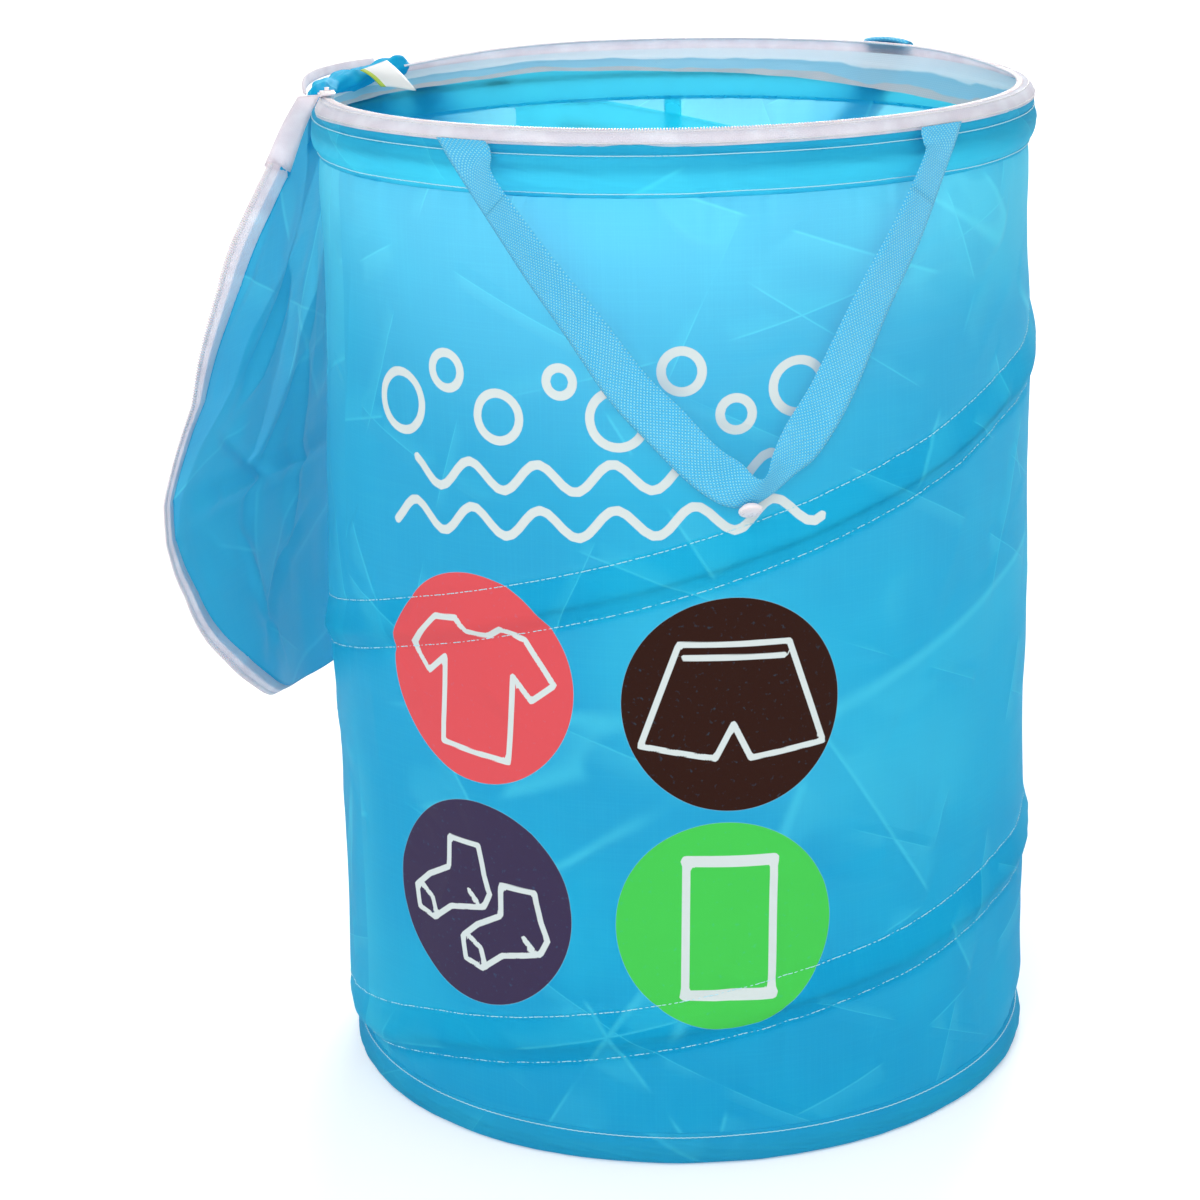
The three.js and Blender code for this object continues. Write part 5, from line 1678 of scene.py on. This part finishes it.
def webbing_strip(name, outer, inner, span, finish):
    """A span of the webbing between two edges, as a thin closed strip with rounded edges. The whole
    length is worked out each time, so that two spans meet without a step."""
    left = polar(outer[:, 0], outer[:, 2], outer[:, 1])
    right_side = polar(inner[:, 0], inner[:, 2], inner[:, 1])
    shares = np.linspace(0, 1, 9)
    middle = left[:, None] * (1 - shares)[None, :, None] + right_side[:, None] * shares[None, :, None]
    across = unit(right_side - left)
    along = unit(np.gradient((left + right_side) / 2, axis=0))
    face = unit(np.cross(along, across))
    face = np.where((face * unit(left * (1, 1, 0))).sum(-1, keepdims=True) < 0, -face, face)
    edge = np.minimum(1, 0.35 + 1.3 * np.minimum(shares, 1 - shares) * 4)[None, :, None]
    ribs = WEBBING_HALF_THICKNESS * edge * face[:, None]
    dome = 1.4 * ramp(outer[:, 1], 531, 540)[:, None] * np.sin(math.pi * shares)[None, :]
    middle = middle + dome[..., None] * (0, 0, 1)
    front, back = middle + ribs, middle - ribs
    places = np.concatenate([front, back[:, ::-1]], 1)
    along_lengths = lengths_along((left + right_side) / 2)
    spots = np.concatenate([shares, 2 - shares[::-1]]) * WEBBING_WIDTH
    flat = np.stack(np.broadcast_arrays(spots[None, :], along_lengths[:, None]), -1).astype(float)
    first, last = span
    return sheet_mesh(name, places[first:last], flat[first:last], finish, wrap_columns=True, caps=True)


def crumple_with_handle(piece):
    """Gives the piece a mesh of its own."""
    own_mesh(piece)


def turned_to_back(edge):
    """The same edge for the rear handle, which spans a little more of the rim."""
    azimuth = np.interp(edge[:, 0], (225, 239.4, 280, 310.6, 325), (34.5, 50, 98, 138, 153))
    return np.stack([azimuth, edge[:, 1], edge[:, 2]], -1)


RIM_LOOP = ((193.6, 0.42), (193.0, 0.78), (190.0, 1.0), (187.2, 0.9))
LOOP_RISE = 10.4


def looped_over_rim(edge):
    """Adds a loop at the right end, where the rear webbing is turned over the rim before it is sewn."""
    end = edge[0]
    loop = np.array([(end[0], end[1] + LOOP_RISE * share, radius) for radius, share in RIM_LOOP])
    loop = smooth_loop(np.concatenate([[end], loop]), 4, closed=False)[1:]
    return np.concatenate([loop[::-1], edge])


def build_handle(side, edges, anchors):
    outer, inner = edges
    level = (outer[:, 1] + inner[:, 1]) / 2
    cut_first = int(np.argmax(level < JUNCTION_HEIGHT))
    cut_last = len(level) - 1 - int(np.argmax(level[::-1] < JUNCTION_HEIGHT))
    spans = {"start_root": (0, cut_first + 1), "v": (cut_first, cut_last + 1),
             "end_root": (cut_last, len(level))}
    outer_places = polar(outer[:, 0], outer[:, 2], outer[:, 1])
    inner_places = polar(inner[:, 0], inner[:, 2], inner[:, 1])
    middle = (outer_places + inner_places) / 2
    lengths = lengths_along(middle)
    for part, span in spans.items():
        piece = webbing_strip(f"{side}_handle_{part}", outer, inner, span, webbing_blue)
        if part == "v":
            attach(piece, side + "_handle")
            crumple_with_handle(piece)
            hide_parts(side + "_handle_webbing")
        else:
            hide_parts(anchors[part == "end_root"])
            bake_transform(piece)
    print(side, "handle", round(float(lengths[-1])), "mm of webbing")


front_edges = webbing_edges()
build_handle("front", front_edges, ("front_left_anchor", "front_right_anchor"))
build_handle("rear", tuple(looped_over_rim(turned_to_back(edge)) for edge in front_edges),
             ("rear_right_anchor", "rear_left_anchor"))

# %% [markdown]
# ## Press studs, slider, pull and stops
# These small moulded parts keep the shape that the frame gives them. Their loose triangles are
# copied, merged and bevelled, because every moulded edge is a little round and catches light.

# %% Small moulded parts
def rounded_copy(node, body, width, finish):
    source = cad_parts[node]
    piece = bpy.data.objects.new(node + "_moulded", source.data.copy())
    bpy.context.scene.collection.objects.link(piece)
    only(piece)
    bpy.ops.object.mode_set(mode="EDIT")
    bpy.ops.mesh.select_all(action="SELECT")
    bpy.ops.mesh.remove_doubles(threshold=0.00002)
    bpy.ops.mesh.dissolve_limited(angle_limit=math.radians(1))
    bpy.ops.object.mode_set(mode="OBJECT")
    bevel = piece.modifiers.new("round_edges", "BEVEL")
    bevel.width, bevel.segments, bevel.limit_method = width * MM, 2, "ANGLE"
    bevel.angle_limit = math.radians(35)
    bpy.ops.object.modifier_apply(modifier="round_edges")
    bpy.ops.object.shade_smooth_by_angle(angle=math.radians(50))
    piece.data.materials.clear()
    piece.data.materials.append(finish)
    for key in list(piece.keys()):
        del piece[key]
    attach(piece, body)
    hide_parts(node)
    return piece


END_STOP_TUCK = polar(146.4, 2.6, -1.6)
for node, body, width in (
        ("front_snap_stud", "front_handle", 0.35), ("front_snap_cap", "front_handle", 0.45),
        ("rear_snap_socket", "rear_handle", 0.35), ("rear_snap_cap", "rear_handle", 0.45)):
    crumple_with_handle(rounded_copy(node, body, width, plastic_white))
for node, body, width in (("zip_slider", "slider", 0.25), ("zip_pull", "pull", 0.3),
                          ("zip_start_stop", "rim", 0.3), ("zip_end_stop", "rim", 0.3)):
    moulded = rounded_copy(node, body, width, plastic_white)
    if node == "zip_end_stop":
        moulded.data.transform(Matrix.Translation(Vector(END_STOP_TUCK) * MM))
print("small parts rounded")

# %% [markdown]
# ## Floor, light and world
# A studio with a white floor and white walls lights the hamper softly from all sides. One broad lamp
# stands high in front, a little to the left, so that it also reaches the inside of the rear rim. A
# second one stands low behind: it shines into the mouth and through the cloth, which makes the upper
# part of the front glow paler than the lower part. The floor's finish is brighter for camera rays
# only, which gives the pure white ground of a catalogue picture and leaves the light on the object
# alone.

# %% Floor, light and world
FLOOR_GLOW = 0.22
ROOM_LIGHT, ROOM_SEEN = 0.7, 1.0
bpy.ops.mesh.primitive_plane_add(size=14, location=(0, 0, -0.0004))
floor = bpy.context.object
floor.name = "pale_floor"
floor_finish, tree, surface, output = finish_of("pale_floor")
grain = put(tree, "ShaderNodeTexNoise", {"Scale": 3.0, "Detail": 2.0,
                                         "Vector": put(tree, "ShaderNodeTexCoord").outputs["Object"]})
pale = tint(tree, grain.outputs[0], (0.9, 0.9, 0.9), (0.94, 0.94, 0.94))
tree.links.new(pale, surface.inputs["Base Color"])
surface.inputs["Roughness"].default_value = 0.8
surface.inputs["Specular IOR Level"].default_value = 0.1
surface.inputs["Emission Color"].default_value = (1, 1, 1, 1)
seen = put(tree, "ShaderNodeLightPath").outputs["Is Camera Ray"]
tree.links.new(calc(tree, "MULTIPLY", seen, FLOOR_GLOW), surface.inputs["Emission Strength"])
floor.data.materials.append(floor_finish)


def soft_sun(name, place, strength, spread):
    """A very wide soft lamp far away, shining from the direction of a place."""
    bpy.ops.object.light_add(type="SUN", location=place)
    lamp = bpy.context.object
    lamp.name = name
    lamp.data.energy = strength
    lamp.data.angle = math.radians(spread)
    lamp.rotation_euler = Vector(place).to_track_quat("Z", "Y").to_euler()
    return lamp


soft_sun("key_high", (-0.55, -1.55, 1.4), 1.2, 40)
soft_sun("fill_right", (2.0, -1.2, 1.2), 0.25, 70)
soft_sun("back_low", (0.3, 1.9, 0.6), 2.2, 24)

world = bpy.data.worlds.new("white_room")
bpy.context.scene.world = world
world.use_nodes = True
tree = world.node_tree
background = tree.nodes["Background"]
background.inputs["Color"].default_value = (1, 1, 1, 1)
path = put(tree, "ShaderNodeLightPath")
seen = calc(tree, "MAXIMUM", path.outputs["Is Camera Ray"], path.outputs["Is Transmission Ray"])
tree.links.new(fade(tree, seen, 0.0, 1.0, ROOM_LIGHT, ROOM_SEEN), background.inputs["Strength"])
bpy.context.scene.view_settings.view_transform = "Standard"
print("light and floor ready")
